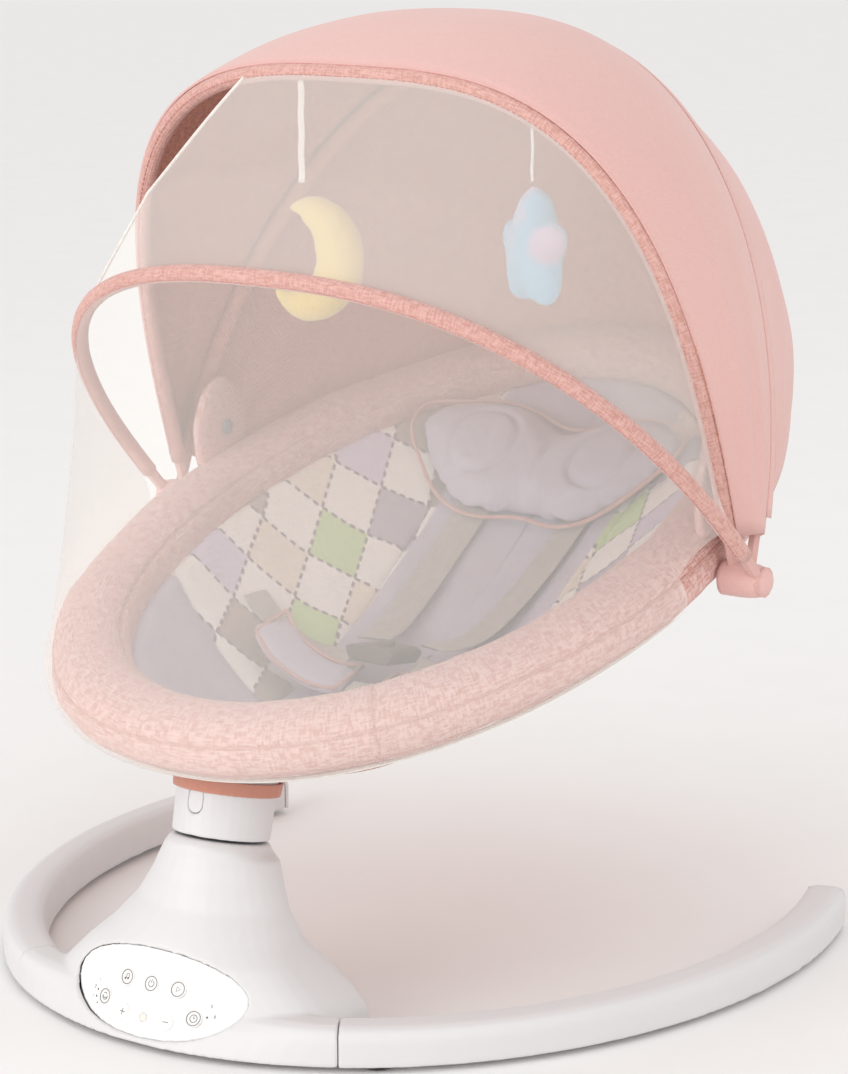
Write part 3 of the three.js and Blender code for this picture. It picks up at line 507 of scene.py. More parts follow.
def stroke(points, width, rise, closed=False):
    # a printed line on the panel; points are (u, v) in millimetres
    verts, faces = [], []
    total = len(points)
    for i, (u, v) in enumerate(points):
        nu, nv = points[(i + 1) % total] if closed or i < total - 1 else points[i]
        pu, pv = points[i - 1] if closed or i > 0 else points[i]
        length = math.hypot(nu - pu, nv - pv) or 1
        du, dv = (nv - pv) / length * width / 2, -(nu - pu) / length * width / 2
        verts += [onPanel(u - du, v - dv, rise), onPanel(u + du, v + dv, rise)]
    for i in range(total if closed else total - 1):
        k = (i + 1) % total
        faces.append((2 * i, 2 * i + 1, 2 * k + 1, 2 * k))
    return verts, faces


def blot(points, rise):
    return [onPanel(u, v, rise) for u, v in points], [tuple(range(len(points)))]


def arc(u, v, radius, start=0, end=360, steps=24):
    turns = spread(math.radians(start), math.radians(end), steps)
    if end - start == 360:
        turns = turns[:-1]
    return [(u + radius * math.cos(t), v + radius * math.sin(t)) for t in turns]


def printed(name, marks, body, thickness=0.00015):
    verts, faces = [], []
    for markVerts, markFaces in marks:
        faces += [tuple(i + len(verts) for i in face) for face in markFaces]
        verts += markVerts
    mesh = bpy.data.meshes.new(name)
    mesh.from_pydata(verts, [], faces)
    piece = link(name, mesh, inkPrint)
    change(piece, "SOLIDIFY", thickness=thickness, offset=0)
    settle(piece)
    return give(piece, body, "dark_plastic")


keys = {
    "speed_key": (-35, -12), "music_key": (-20, 4), "power_key": (0, 4), "play_key": (20, 4),
    "timer_key": (35, -12), "volume_up_key": (-17, -17), "volume_down_key": (17, -17),
}
keyShape = {"radius": 5.6, "bevel": 0.7, "dish": 0.25, "ink": 0.45}


def keyCap(node, u, v):
    top = faceTop(node, u, v)
    low = -1.0
    radius, bevel, dish = keyShape["radius"], keyShape["bevel"], keyShape["dish"]
    profile = [(radius - 0.2, low), (radius, low + 0.3), (radius, top - bevel),
               (radius - bevel * 0.3, top - bevel * 0.3), (radius - bevel, top),
               (radius * 0.7, top - dish * 0.5), (radius * 0.4, top - dish), (0.05, top - dish)]
    rows = [[onPanel(u + r * math.cos(t), v + r * math.sin(t), h) for t in spread(0, 2 * math.pi, 40)[:-1]]
            for r, h in profile]
    give(skin(f"{node}_cap", rows, keyPlastic, wrapCols=True, capped=True), node, "key", node)
    return top


def keyMarks(node, u, v, top):
    # the ring lies on the cap's edge, the icon down in its dish
    h, ink = top - keyShape["dish"] + 0.02, keyShape["ink"]
    line = lambda points, closed=False: stroke(points, ink, h, closed)
    marks = []
    if node in ("music_key", "power_key", "play_key", "timer_key", "speed_key"):
        marks.append(stroke(arc(u, v, 4.4, 0, 360, 40), ink, top + 0.02, True))
    if node == "music_key":
        marks += [line([(u - 0.9, v - 1.1), (u - 0.9, v + 1.7), (u + 1.3, v + 2.1), (u + 1.3, v - 0.7)]),
                  blot(arc(u - 1.5, v - 1.2, 0.7), h), blot(arc(u + 0.7, v - 0.8, 0.7), h)]
    elif node == "power_key":
        marks += [line(arc(u, v, 2.0, -235, 55)), line([(u, v + 0.6), (u, v + 2.6)])]
    elif node == "play_key":
        marks += [line([(u - 1.0, v - 1.5), (u + 1.6, v), (u - 1.0, v + 1.5)], True)]
    elif node == "timer_key":
        marks += [line(arc(u, v, 2.3), True), line([(u, v + 1.5), (u, v), (u + 1.1, v)])]
    elif node == "speed_key":
        marks += [line(arc(u, v + 0.4, 2.4, 200, 340)), line(arc(u, v + 1.4, 2.4, 200, 340)),
                  line([(u - 1.4, v + 1.6), (u, v + 2.3), (u + 1.4, v + 1.6)])]
    elif node == "volume_up_key":
        marks += [line([(u - 2, v), (u + 2, v)]), line([(u, v - 2), (u, v + 2)])]
    else:
        marks += [line([(u - 2, v), (u + 2, v)])]
    printed(f"{node}_mark", marks, node)


for node, (u, v) in keys.items():
    keyMarks(node, u, v, keyCap(node, u, v))

# the moulded face stands 0.6 mm proud of the node, and the print lies on it
numbers = {"size": 3.0, "dot": 0.75, "rise": 0.72}
faceMarks = []
labels = []
for i, angle in enumerate((135, 165, 195, 225, 255)):
    u, v = -35 + 8.4 * math.cos(math.radians(angle)), -12 + 8.4 * math.sin(math.radians(angle))
    faceMarks.append(blot(arc(u, v, numbers["dot"], steps=12), numbers["rise"]))
    labels.append((str(i + 1), -35 + 11.8 * math.cos(math.radians(angle)),
                   -12 + 11.8 * math.sin(math.radians(angle))))
for text, angle in (("8", 75), ("15", 45), ("30", 12)):
    u, v = 35 + 8.4 * math.cos(math.radians(angle)), -12 + 8.4 * math.sin(math.radians(angle))
    faceMarks.append(blot(arc(u, v, numbers["dot"], steps=12), numbers["rise"]))
    labels.append((text, 35 + 12.4 * math.cos(math.radians(angle)),
                   -12 + 12.4 * math.sin(math.radians(angle))))
pill = arc(-17, -17, 7.6, 90, 270, 16) + arc(17, -17, 7.6, -90, 90, 16)
faceMarks.append(stroke(pill, 0.4, numbers["rise"], True))
diamond = [(-2.6, -17), (0, -14.4), (2.6, -17), (0, -19.6)]
faceMarks.append(stroke(diamond, 0.4, numbers["rise"], True))
printed("panel_marks", faceMarks, "base")

digits = []
for i, (text, u, v) in enumerate(labels):
    curve = bpy.data.curves.new(f"digit{i}", "FONT")
    curve.body = text
    curve.size = numbers["size"] / 1000
    curve.align_x = "CENTER"
    curve.align_y = "CENTER"
    curve.extrude = 0.00006
    holder = bpy.data.objects.new(f"digit{i}", curve)
    bpy.context.scene.collection.objects.link(holder)
    bpy.context.view_layer.update()
    mesh = bpy.data.meshes.new_from_object(holder.evaluated_get(bpy.context.evaluated_depsgraph_get()))
    bpy.data.objects.remove(holder)
    upright = Matrix.Rotation(math.pi / 2 - panel["lean"], 4, "X")
    mesh.transform(Matrix.Translation(onPanel(u, v, numbers["rise"] + 0.04)) @ upright)
    mesh.materials.clear()
    digits.append(link(f"digit{i}", mesh, inkPrint))
give(joined("panel_numbers", digits), "base", "dark_plastic")
print("panel made")

# Seat rim, as an egg-shaped ring in a plane that rises towards the head
rim = {"half": 188.0, "front": 264.0, "rear": 268.0, "frontPower": 2.1, "rearPower": 1.88,
       "centreY": 12.0, "level": 264.0, "slope": 0.302, "padWide": 28.0, "padHigh": 20.0}
rimNormal = Vector((0, -rim["slope"], 1)).normalized()
bowl = {"inset": 29.5, "depth": 92.0}


def rimPoint(angle, inset=0.0, scale=1.0):
    front = math.cos(angle) > 0
    power = rim["frontPower"] if front else rim["rearPower"]
    reach = (rim["front"] if front else rim["rear"]) - inset
    x = (rim["half"] - inset) * scale * spow(math.sin(angle), 2 / power)
    y = rim["centreY"] - reach * scale * spow(math.cos(angle), 2 / power)
    return x, y, rim["level"] + rim["slope"] * y


def bowlHeight(x, y):
    front = y < rim["centreY"]
    power = rim["frontPower"] if front else rim["rearPower"]
    reach = (rim["front"] if front else rim["rear"]) - bowl["inset"]
    share = (abs(x) / (rim["half"] - bowl["inset"])) ** power + (abs(y - rim["centreY"]) / reach) ** power
    share = min(1.0, share ** (1 / power))
    deeper = 1 - (y + 30) / 520
    return rim["level"] + rim["slope"] * y - bowl["depth"] * deeper * (1 - share ** 2.3)


def rimOut(angle):
    # the level direction from the ring's middle to its outside
    ax, ay, az = rimPoint(angle, 6)
    bx, by, bz = rimPoint(angle, -6)
    return Vector((bx - ax, by - ay, bz - az)).normalized()


# angles that walk round the ring at an even pace
def evenRing(count):
    fine = spread(0, 2 * math.pi, 4000)
    lengths = [0.0]
    for a, b in zip(fine, fine[1:]):
        lengths.append(lengths[-1] + (Vector(rimPoint(b)) - Vector(rimPoint(a))).length)
    found, i = [], 0
    for k in range(count):
        target = lengths[-1] * k / count
        while lengths[i + 1] < target:
            i += 1
        found.append(fine[i] + (fine[i + 1] - fine[i]) * (target - lengths[i]) / (lengths[i + 1] - lengths[i]))
    return found


cushion = {"seams": (0.42, 2.5, 5.65), "groove": 1.6, "crown": 1.5, "wave": 1.8}


def rimSection(angle, turn):
    # turn runs round the pad, from its outside over the top
    c, s = math.cos(turn), math.sin(turn)
    wide, high = rim["padWide"] - 1.0, rim["padHigh"] - 0.5
    x, y, z = rimPoint(angle)
    grow = cushion["crown"] * abs(s) ** 2
    for seam in cushion["seams"]:
        gap = math.atan2(math.sin(turn - seam), math.cos(turn - seam))
        grow -= cushion["groove"] * math.exp(-(gap / 0.05) ** 2)
        pucker = math.exp(-(gap / 0.3) ** 2) * rough(x * 1.0, y * 1.0, seam * 50, 9)
        grow += 0.5 * pucker
    grow += cushion["wave"] * rough(x, y, s * 30 + c * 15, 46) + 0.6 * rough(x, y, s * 40, 16)
    out = rimOut(angle)
    p = Vector((x, y, z)) + out * (spow(c, 0.9) * wide + c * grow) + rimNormal * (spow(s, 0.9) * high + s * grow)
    return at(*p)


ring = evenRing(360)
turns = spread(0, 2 * math.pi, 96)[:-1]
rimPad = skin("rim_cushion", [[rimSection(a, t) for t in turns] for a in ring], rimCloth,
              wrapRows=True, wrapCols=True)
give(rimPad, "seat", "rim_fabric", "rim_pad")


def piping(name, turn, radius, look, lift=0.4):
    points = []
    for a in ring[::2]:
        x, y, z = rimPoint(a)
        points.append(rimSection(a, turn) + (rimOut(a) * math.cos(turn) + rimNormal * math.sin(turn)) * lift / 1000)
    piece = tube(name, points, look, radius / 1000, 8, closed=True)
    return give(piece, "seat", "binding")


piping("rim_piping_outer", cushion["seams"][0], 1.0, bindingCloth)
piping("rim_piping_lower", cushion["seams"][2], 1.1, bindingCloth)

# one seam across the cushion, near the right front
seamAngle = 0.62
crossRing = [rimSection(seamAngle, t) for t in spread(-0.9, 2.9, 60)]
give(tube("rim_cross_seam", crossRing, bindingCloth, 0.0009, 8), "seat", "binding")


# Sling: the outer cloth under the bowl
def bowlPatch(name, look, drop, thickness, edge, rings, around, relief):
    rows = []
    for s in spread(0.03, edge, rings):
        row = []
        for a in spread(0, 2 * math.pi, around)[:-1]:
            x, y, _ = rimPoint(a, bowl["inset"], s)
            row.append(at(x, y, bowlHeight(x, y) - drop + relief(x, y, s)))
        rows.append(row)
    heart = sum(rows[0], Vector()) / around
    rows.insert(0, [p.lerp(heart, 0.96) for p in rows[0]])
    piece = skin(name, rows, look, wrapCols=True)
    edit = bmesh.new()
    edit.from_mesh(piece.data)
    layer = edit.loops.layers.uv.active
    bmesh.ops.holes_fill(edit, edges=[e for e in edit.edges if e.is_boundary
                                      and (e.verts[0].co - rows[0][0]).length < 0.02])
    for face in edit.faces:
        for loop in face.loops:
            loop[layer].uv = (loop.vert.co.x, loop.vert.co.y)
    bmesh.ops.recalc_face_normals(edit, faces=edit.faces)
    edit.to_mesh(piece.data)
    edit.free()
    change(piece, "SOLIDIFY", thickness=thickness / 1000, offset=0)
    return settle(piece)


sling = bowlPatch("sling_cloth", slingClothPaintedShade, 14.5, 1.6, 1.03, 40, 160,
                  lambda x, y, s: 0.5 * rough(x, y, 0, 30) * (1 - s))
give(sling, "seat", "sling_fabric", "sling")

# Liner: a lavender middle, patchwork sides and a foot end, quilted along their seams
liner = {"panelHead": 78.0, "panelFoot": 62.0, "footEnd": -96.0, "groove": 3.2, "puff": 2.6}


def panelEdge(y):
    return liner["panelFoot"] + (liner["panelHead"] - liner["panelFoot"]) * smooth(-120, 200, y)


def linerRelief(x, y, s):
    edge = abs(abs(x) - panelEdge(y)) if y > liner["footEnd"] else 99
    foot = abs(y - liner["footEnd"] - abs(x) * 0.12)
    middle = abs(x) if y > liner["footEnd"] else 99
    nearest = min(edge, foot, middle + 2, (1 - s) * 160 + 4)
    height = liner["puff"] * (1 - math.exp(-nearest / 11)) - liner["groove"] * math.exp(-(nearest / 3.0) ** 2)
    quilt = 0.5 * math.cos(x * 2 * math.pi / 66) * math.cos(y * 2 * math.pi / 66)
    return height + quilt + 1.1 * rough(x, y, 5, 38) + 0.4 * rough(x, y, 9, 13) - 1.5


def abs1(wire):
    return wire.combine("ABSOLUTE", wire - 0.5)


def patchwork():
    look = Look("patchwork", Roughness=0.9, Sheen_Weight=0.15)
    look.shader.inputs["Specular IOR Level"].default_value = 0.2
    where = look.sheetPlace()
    u = look.node("ShaderNodeSeparateXYZ", {}, {0: where}, 0)
    v = look.node("ShaderNodeSeparateXYZ", {}, {0: where}, 1)
    p = (u * 0.94 + v * 0.34) * (1 / 0.034)
    q = (v * 0.94 - u * 0.34) * (1 / 0.034)
    cell = look.node("ShaderNodeCombineXYZ", {}, {0: p.combine("FLOOR", p), 1: q.combine("FLOOR", q), 2: 3.0})
    pick = look.node("ShaderNodeTexWhiteNoise", {"noise_dimensions": "3D"}, {0: cell}, 0)
    checks = (p.combine("FLOOR", p) + q.combine("FLOOR", q)).combine("PINGPONG",
        p.combine("FLOOR", p) + q.combine("FLOOR", q), 1.0)
    tints = look.node("ShaderNodeValToRGB", {"stops": [
        (0.0, shade("B7A79C")), (0.26, shade("EFE2D0")), (0.48, shade("BDB2BD")),
        (0.66, shade("C5DC9B")), (0.80, shade("A99A94")), (0.90, shade("D9CDE0")), (0.96, shade("F0DF9A"))]},
        {0: pick})
    tints.socket.node.color_ramp.interpolation = "CONSTANT"
    patches = look.mix(checks, full(shade("F6F2EC")), tints)
    pIn = p.combine("FRACT", p + 0.5)
    qIn = q.combine("FRACT", q + 0.5)
    dash = (q.combine("FRACT", q * 5.0) < 0.6) * (abs1(pIn) < 0.03)
    dashAcross = (p.combine("FRACT", p * 5.0) < 0.6) * (abs1(qIn) < 0.03)
    thread = dash.combine("MAXIMUM", dash, dashAcross)
    sides = look.mix(thread, patches, full(shade("8B747B")))
    # the lavender middle and foot end
    width = u.combine("ABSOLUTE", u)
    slope = v.combine("SMOOTH_MIN", v, 0.2)
    edge = slope * 0.05 + 0.066
    inMiddle = width < edge
    inFoot = v < (width * 0.12 + (liner["footEnd"] / 1000 - rowShift))
    plain = inMiddle.combine("MAXIMUM", inMiddle, inFoot)
    cloud = look.grain(look.place(), 40, 3.0)
    lavender = look.mix(cloud, full(paint["lavender"]), full(paint["lavenderDark"]))
    look.feed(Base_Color=look.mix(plain, sides, lavender))
    weave = look.bands(where, 240, "X") * look.bands(where, 240, "Y")
    look.bump(weave + cloud * 0.6, 0.3, 0.0004)
    return look.material


linerPad = bowlPatch("seat_liner", patchwork(), 6.0, 9.0, 1.05, 94, 240, linerRelief)
give(linerPad, "seat", "liner_fabric", "seat_pad")
print("seat made")

# Canopy: arches in planes through the hinge axis
front = {"angle": 71.4, "height": 334.0, "power": 3.1, "off": 0.0}
middle = {"angle": 108.0, "height": 343.0, "power": 2.0, "off": 0.0}
netArch = {"angle": 43.7, "height": 288.0, "power": 2.5, "off": 0.0}
rearA = {"angle": 125.0, "height": 333.0, "power": 2.0, "off": 0.0}
rearB = {"angle": 142.0, "height": 316.0, "power": 2.0, "off": 0.0}
half = {"front": 223.7, "middle": 232.7, "net": 241.7}
canopy = {"start": 30.0, "bulge": 5.0, "cover": 5.0, "cloth": 1.6, "hemShares": (0.08, 0.92), "hem": 31.0}


def archPoint(arch, halfWidth, turn, grow=0.0):
    x = (halfWidth + grow) * spow(math.cos(turn), 2 / arch["power"])
    reach = (arch["height"] + grow) * spow(math.sin(turn), 2 / arch["power"])
    c, s = math.cos(math.radians(arch["angle"])), math.sin(math.radians(arch["angle"]))
    off = arch["off"]
    return Vector((x, hinge["y"] - reach * c + off * s, hinge["z"] + reach * s + off * c))


def clothTurn(arch, share):
    start = math.asin((canopy["start"] / arch["height"]) ** (arch["power"] / 2))
    return start + share * (math.pi - 2 * start)


def between(a, b, share):
    return {key: a[key] + (b[key] - a[key]) * share for key in ("angle", "height", "power", "off")}


def hoodFront(t, share, lift):
    width = half["front"] + (half["middle"] - half["front"]) * t
    arch = between(front, middle, t)
    return archPoint(arch, width, clothTurn(arch, share),
                     canopy["cover"] + lift + canopy["bulge"] * math.sin(math.pi * t))


def rearHem(share, lift):
    low, high = canopy["hemShares"]
    run = math.pi / 2 + math.pi * (low + share * (high - low))
    x, y, z = rimPoint(run, -(canopy["hem"] + lift))
    return Vector((x, y, z)) + rimNormal * rim["padHigh"] * 0.2


def hoodRear(t, share, lift):
    # Catmull-Rom through the middle bow, two ribs and the hem
    arches = [
        archPoint(front, half["front"], clothTurn(front, share), canopy["cover"] + lift),
        archPoint(middle, half["middle"], clothTurn(middle, share), canopy["cover"] + lift),
        archPoint(rearA, half["middle"] - 8, clothTurn(rearA, share), canopy["cover"] + lift),
        archPoint(rearB, half["middle"] - 18, clothTurn(rearB, share), canopy["cover"] + lift),
        rearHem(share, lift),
    ]
    arches.append(arches[4] * 2 - arches[3])
    arches[0] = arches[1] * 2 - arches[2]
    spot = t * 3
    i = min(2, int(spot))
    f = spot - i
    a, b, c, d = arches[i:i + 4]
    return 0.5 * (2 * b + (c - a) * f + (2 * a - 5 * b + 4 * c - d) * f * f + (3 * b - a - 3 * c + d) * f ** 3)


def hoodFold(t, share, freq, amount):
    # pleats gather at the two hinges and run out over the crown
    near = min(share, 1 - share)
    return amount * math.exp(-near / 0.11) * math.sin(t * freq * math.pi) * smooth(0.0, 0.04, near)


def hoodSheet(name, at3, count, steps, amount):
    rows = []
    for t in spread(0, 1, steps):
        row = []
        for share in spread(0, 1, count):
            lift = hoodFold(t, share, 7, amount) * math.sin(math.pi * t) + 1.0
            p = at3(t, share, 0.0)
            q = at3(t, share, 1.0)
            sag = 1.2 * rough(p.x, p.y, p.z, 60) * math.sin(math.pi * t)
            row.append(at(*(p + (q - p) * (lift + sag))))
        rows.append(row)
    piece = skin(name, rows, hoodCloth)
    piece.data.materials.append(hoodInside)
    change(piece, "SOLIDIFY", thickness=canopy["cloth"] / 1000, offset=0, material_offset=1, use_rim=True)
    settle(piece)
    piece.data.materials.clear()
    piece.data.materials.append(hoodCloth)
    piece.data.materials.append(hoodInside)
    return piece


def faceInside(piece, centre):
    # the lining is every face that looks back at the seat
    for polygon in piece.data.polygons:
        inward = (centre - polygon.center).dot(polygon.normal) > 0
        polygon.material_index = 1 if inward else 0


hoodCentre = at(0, 60, 300)
frontPanel = hoodSheet("hood_front", hoodFront, 160, 26, 2.2)
rearPanel = hoodSheet("hood_rear", hoodRear, 160, 60, 3.0)
for piece in (frontPanel, rearPanel):
    faceInside(piece, hoodCentre)


def blended(piece, a, b, start, end, slotName, *nodes):
    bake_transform(piece)
    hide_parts(*nodes)


def crown(arch, halfWidth):
    return at(*archPoint(arch, halfWidth, math.pi / 2))


blended(frontPanel, "canopy_mid", "canopy_visor", crown(middle, half["middle"]), crown(front, half["front"]),
        "hood_fabric", "canopy_front")
blended(rearPanel, "seat", "canopy_mid", at(*hoodRear(1, 0.5, 0)), crown(middle, half["middle"]),
        "hood_fabric", "canopy_rear")


def casing(name, arch, halfWidth, radius, shares, body, slotName, look, flat=1.0, count=140):
    points = [at(*archPoint(arch, halfWidth, clothTurn(arch, s))) for s in spread(*shares, count)]
    return give(tube(name, points, look, radius / 1000, 14, flat=flat), body, slotName)


casing("hood_binding", front, half["front"], 5.6, (0, 1), "canopy_visor", "binding", bindingCloth)
casing("mid_casing", middle, half["middle"], 6.0, (0, 1), "canopy_mid", "hood_fabric", hoodInside)
casing("net_binding", netArch, half["net"], 5.6, (0, 1), "net_frame", "binding", bindingCloth)

# outer seam tapes over the bows, a little proud of the cloth
def seamTape(name, arch, halfWidth, body, grow):
    rows = []
    for off in (-3.2, -1.6, 0.0, 1.6, 3.2):
        shape = dict(arch, off=arch["off"] + off)
        raise_ = grow + 0.5 - abs(off) * 0.14
        rows.append([at(*archPoint(shape, halfWidth, clothTurn(arch, s), raise_))
                     for s in spread(0.01, 0.99, 140)])
    piece = skin(name, rows, hoodCloth)
    change(piece, "SOLIDIFY", thickness=0.0006, offset=0)
    return give(settle(piece), body, "hood_fabric")


seamTape("hood_seam_tape", middle, half["middle"], "canopy_mid", 8.2)


# Stitches lie on the binding every few millimetres.
def stitches(name, arch, halfWidth, offset, grow, body, look, pitch=4.0, length=2.6):
    verts, faces = [], []
    steps = spread(0.005, 0.995, 1200)
    line = [archPoint(dict(arch, off=offset), halfWidth, clothTurn(arch, s), grow) for s in steps]
    travel, due = 0.0, 0.0
    for i in range(1, len(line) - 1):
        travel += (line[i] - line[i - 1]).length
        if travel < due:
            continue
        due += pitch
        way = (line[i + 1] - line[i]).normalized()
        side = way.cross(Vector((0, 0, 1))).normalized() * 0.32
        top = side.cross(way).normalized() * 0.32
        ends = (line[i], line[i] + way * length)
        start = len(verts)
        for end in ends:
            for du, dv in ((-1, -1), (1, -1), (1, 1), (-1, 1)):
                verts.append(at(*(end + side * du + top * dv)))
        faces += [tuple(start + n for n in f) for f in (
            (0, 1, 2, 3), (7, 6, 5, 4), (0, 4, 5, 1), (1, 5, 6, 2), (2, 6, 7, 3), (3, 7, 4, 0))]
    mesh = bpy.data.meshes.new(name)
    mesh.from_pydata(verts, [], faces)
    return give(link(name, mesh, look), body, "binding")


threadLook = woven("stitchThread", shade("CE9389"), shade("B87C72"), pitch=0.4, heather=0.2)
stitches("hood_stitches", front, half["front"], -5.6, 0.0, "canopy_visor", threadLook)
stitches("net_stitches", netArch, half["net"], -5.6, 0.0, "net_frame", threadLook)
print("hood made")

# Nets
net = {"hood": 0.57, "bow": 0.76, "off": 5.0, "sag": 4.0, "clear": 3.2, "drop": 0.74, "meets": 0.55,
       "tuck": -1.15}


def upperNet(t, share):
    top = archPoint(dict(front, off=-net["off"]), half["front"], clothTurn(front, share * net["hood"]), 0.6)
    low = archPoint(dict(netArch, off=net["off"]), half["net"], clothTurn(netArch, share * net["bow"]), 0.6)
    mid = between(front, netArch, 0.5)
    centre = archPoint(mid, (half["front"] + half["net"]) / 2,
                       clothTurn(mid, share * (net["hood"] + net["bow"]) / 2), -1.4)
    if t < 0.5:
        f = t * 2
        p = top.lerp(centre, f)
    else:
        f = t * 2 - 1
        p = centre.lerp(low, f)
    smoothIn = (top.lerp(low, t) - p) * 0.35 * math.sin(math.pi * t)
    ripple = 1.0 * math.sin(math.pi * t) * rough(p.x, p.y, p.z, 50)
    return at(*(p + smoothIn + Vector((0, ripple, ripple))))


def lowerNet(t, share):
    # straight down from the bow, then round the pad's outside to its underside
    top = archPoint(dict(netArch, off=-net["off"]), half["net"], clothTurn(netArch, share), 0.6)
    run = math.pi / 2 - math.pi * share
    centre, out = Vector(rimPoint(run)), rimOut(run)
    wrap = lambda turn: (centre + out * (math.cos(turn) * (rim["padWide"] + net["clear"]))
                         + rimNormal * (math.sin(turn) * (rim["padHigh"] + net["clear"])))
    inward = Vector((-net["sag"] * math.cos(math.pi * share), net["sag"] * math.sin(math.pi * share), 0))
    drop = net["drop"]
    f = min(1.0, t / drop)
    if t < drop:
        p = top.lerp(wrap(net["meets"]), f) + inward * (4 * f * (1 - f))
    else:
        p = wrap(net["meets"] + (net["tuck"] - net["meets"]) * (t - drop) / (1 - drop))
    ripple = 1.4 * math.sin(math.pi * f) * rough(p.x, p.y, 0, 34)
    return at(*(p + Vector((math.cos(math.pi * share), -math.sin(math.pi * share), 0)) * ripple))


def netSheet(name, shape, shares, steps, count, look):
    rows = [[shape(t, s) for s in spread(*shares, count)] for t in spread(0, 1, steps)]
    return skin(name, rows, look)


topNet = netSheet("net_upper", upperNet, (0, 1), 24, 110, upperMesh)
blended(topNet, "canopy_visor", "net_frame", crown(front, half["front"]), crown(netArch, half["net"]), "mesh",
        "upper_net")
lowNet = netSheet("net_lower", lowerNet, (0.03, 0.97), 36, 150, lowerMesh)
give(lowNet, "net_frame", "mesh", "lower_net")
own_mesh(lowNet)

# The net's elastic hem runs round under the rim.
hemLine = [lowerNet(1, s) for s in spread(0.03, 0.97, 150)]
give(tube("net_hem", hemLine, hemCloth, 0.0016, 8), "seat", "mesh")
edgeLine = [upperNet(t, 1) for t in spread(0, 1, 60)]
netEdge = tube("net_free_edge", edgeLine, hemCloth, 0.0011, 8)
crown(front, half["front"])
crown(netArch, half["net"])
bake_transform(netEdge)
print("nets made")


# Round cloth covers over the canopy hinges, with a snap on each
def hub(name, sign):
    centre = Vector((sign * 203.0, 44.0, 309.0))
    rows = []
    for depth, size in ((-3.2, 0.9), (-3.2, 1.0), (0, 1.03), (3.0, 0.97), (4.8, 0.7), (5.4, 0.3), (5.5, 0.04)):
        row = []
        for t in spread(0, 2 * math.pi, 56)[:-1]:
            pucker = 1 + 0.012 * math.sin(9 * t)
            row.append(at(centre.x - sign * depth, centre.y + 27 * size * pucker * math.cos(t),
                          centre.z + 38 * size * pucker * math.sin(t)))
        rows.append(row)
    give(skin(name, rows, rimCloth, wrapCols=True, capped=True), "seat", "rim_fabric")
    button = []
    for depth, radius in ((4.6, 5.6), (6.4, 5.6), (7.4, 4.8), (7.8, 3.0), (7.9, 0.1)):
        button.append([at(centre.x - sign * depth, centre.y + radius * math.cos(t), centre.z + 4 + radius * math.sin(t))
                       for t in spread(0, 2 * math.pi, 32)[:-1]])
    give(skin(f"{name}_snap", button, snapGrey, wrapCols=True, capped=True), "seat", "dark_plastic")


hub("left_hub", -1)
hub("right_hub", 1)


def pinCover(name, node, sign):
    # the hood's cloth closes over the end of the hinge pin
    cover = {"in": 216.0, "out": 250.0, "radius": 11.6}
    rows = []
    for step in spread(0, 1, 14):
        x = cover["in"] + (cover["out"] - cover["in"]) * step
        size = cover["radius"] * max(0.03, math.sqrt(max(0.0, 1 - step ** 5)))
        rows.append([at(sign * x, hinge["y"] + size * math.cos(t) * (1 + 0.02 * math.sin(5 * t)),
                        hinge["z"] + size * math.sin(t)) for t in spread(0, 2 * math.pi, 48)[:-1]])
    give(skin(name, rows, hoodCloth, wrapCols=True, capped=True), "seat", "hood_fabric", node)


pinCover("left_pin_cover", "left_canopy_hinge", -1)
pinCover("right_pin_cover", "right_canopy_hinge", 1)


# Webbing follows the liner on a smooth line through (x, y, lift) points.
def curveThrough(points, count):
    points = [Vector(p) for p in points]
    line = [points[0] * 2 - points[1], *points, points[-1] * 2 - points[-2]]
    found = []
    for step in spread(0, len(points) - 1, count):
        i = min(len(points) - 2, int(step))
        f = step - i
        a, b, c, d = line[i:i + 4]
        found.append(0.5 * (2 * b + (c - a) * f + (2 * a - 5 * b + 4 * c - d) * f * f
                            + (3 * b - a - 3 * c + d) * f ** 3))
    return found


def webbing(name, points, width, thickness, look, body, slotName, *nodes, puff=0.0):
    line = [Vector((p.x, p.y, bowlHeight(p.x, p.y) + p.z)) for p in curveThrough(points, 60)]
    rows = []
    for i, p in enumerate(line):
        way = (line[min(i + 1, len(line) - 1)] - line[max(i - 1, 0)]).normalized()
        e = 4.0
        up = Vector((bowlHeight(p.x - e, p.y) - bowlHeight(p.x + e, p.y),
                     bowlHeight(p.x, p.y - e) - bowlHeight(p.x, p.y + e), 2 * e)).normalized()
        side = way.cross(up).normalized()
        top = side.cross(way).normalized()
        end = smooth(0, 0.12, min(i, len(line) - 1 - i) / (len(line) - 1)) if puff else 1.0
        wide = width / 2 * (0.75 + 0.25 * end)
        ringPoints = []
        for t in spread(0, 2 * math.pi, 28)[:-1]:
            c, s = math.cos(t), math.sin(t)
            high = thickness / 2 + puff * end * (1 - abs(c) ** 3)
            ringPoints.append(at(*(p + side * (spow(c, 0.45) * wide) + top * (thickness / 2 + spow(s, 0.6) * high))))
        rows.append(ringPoints)
    piece = skin(name, rows, look, wrapCols=True, capped=True)
    return give(piece, body, slotName, *nodes)


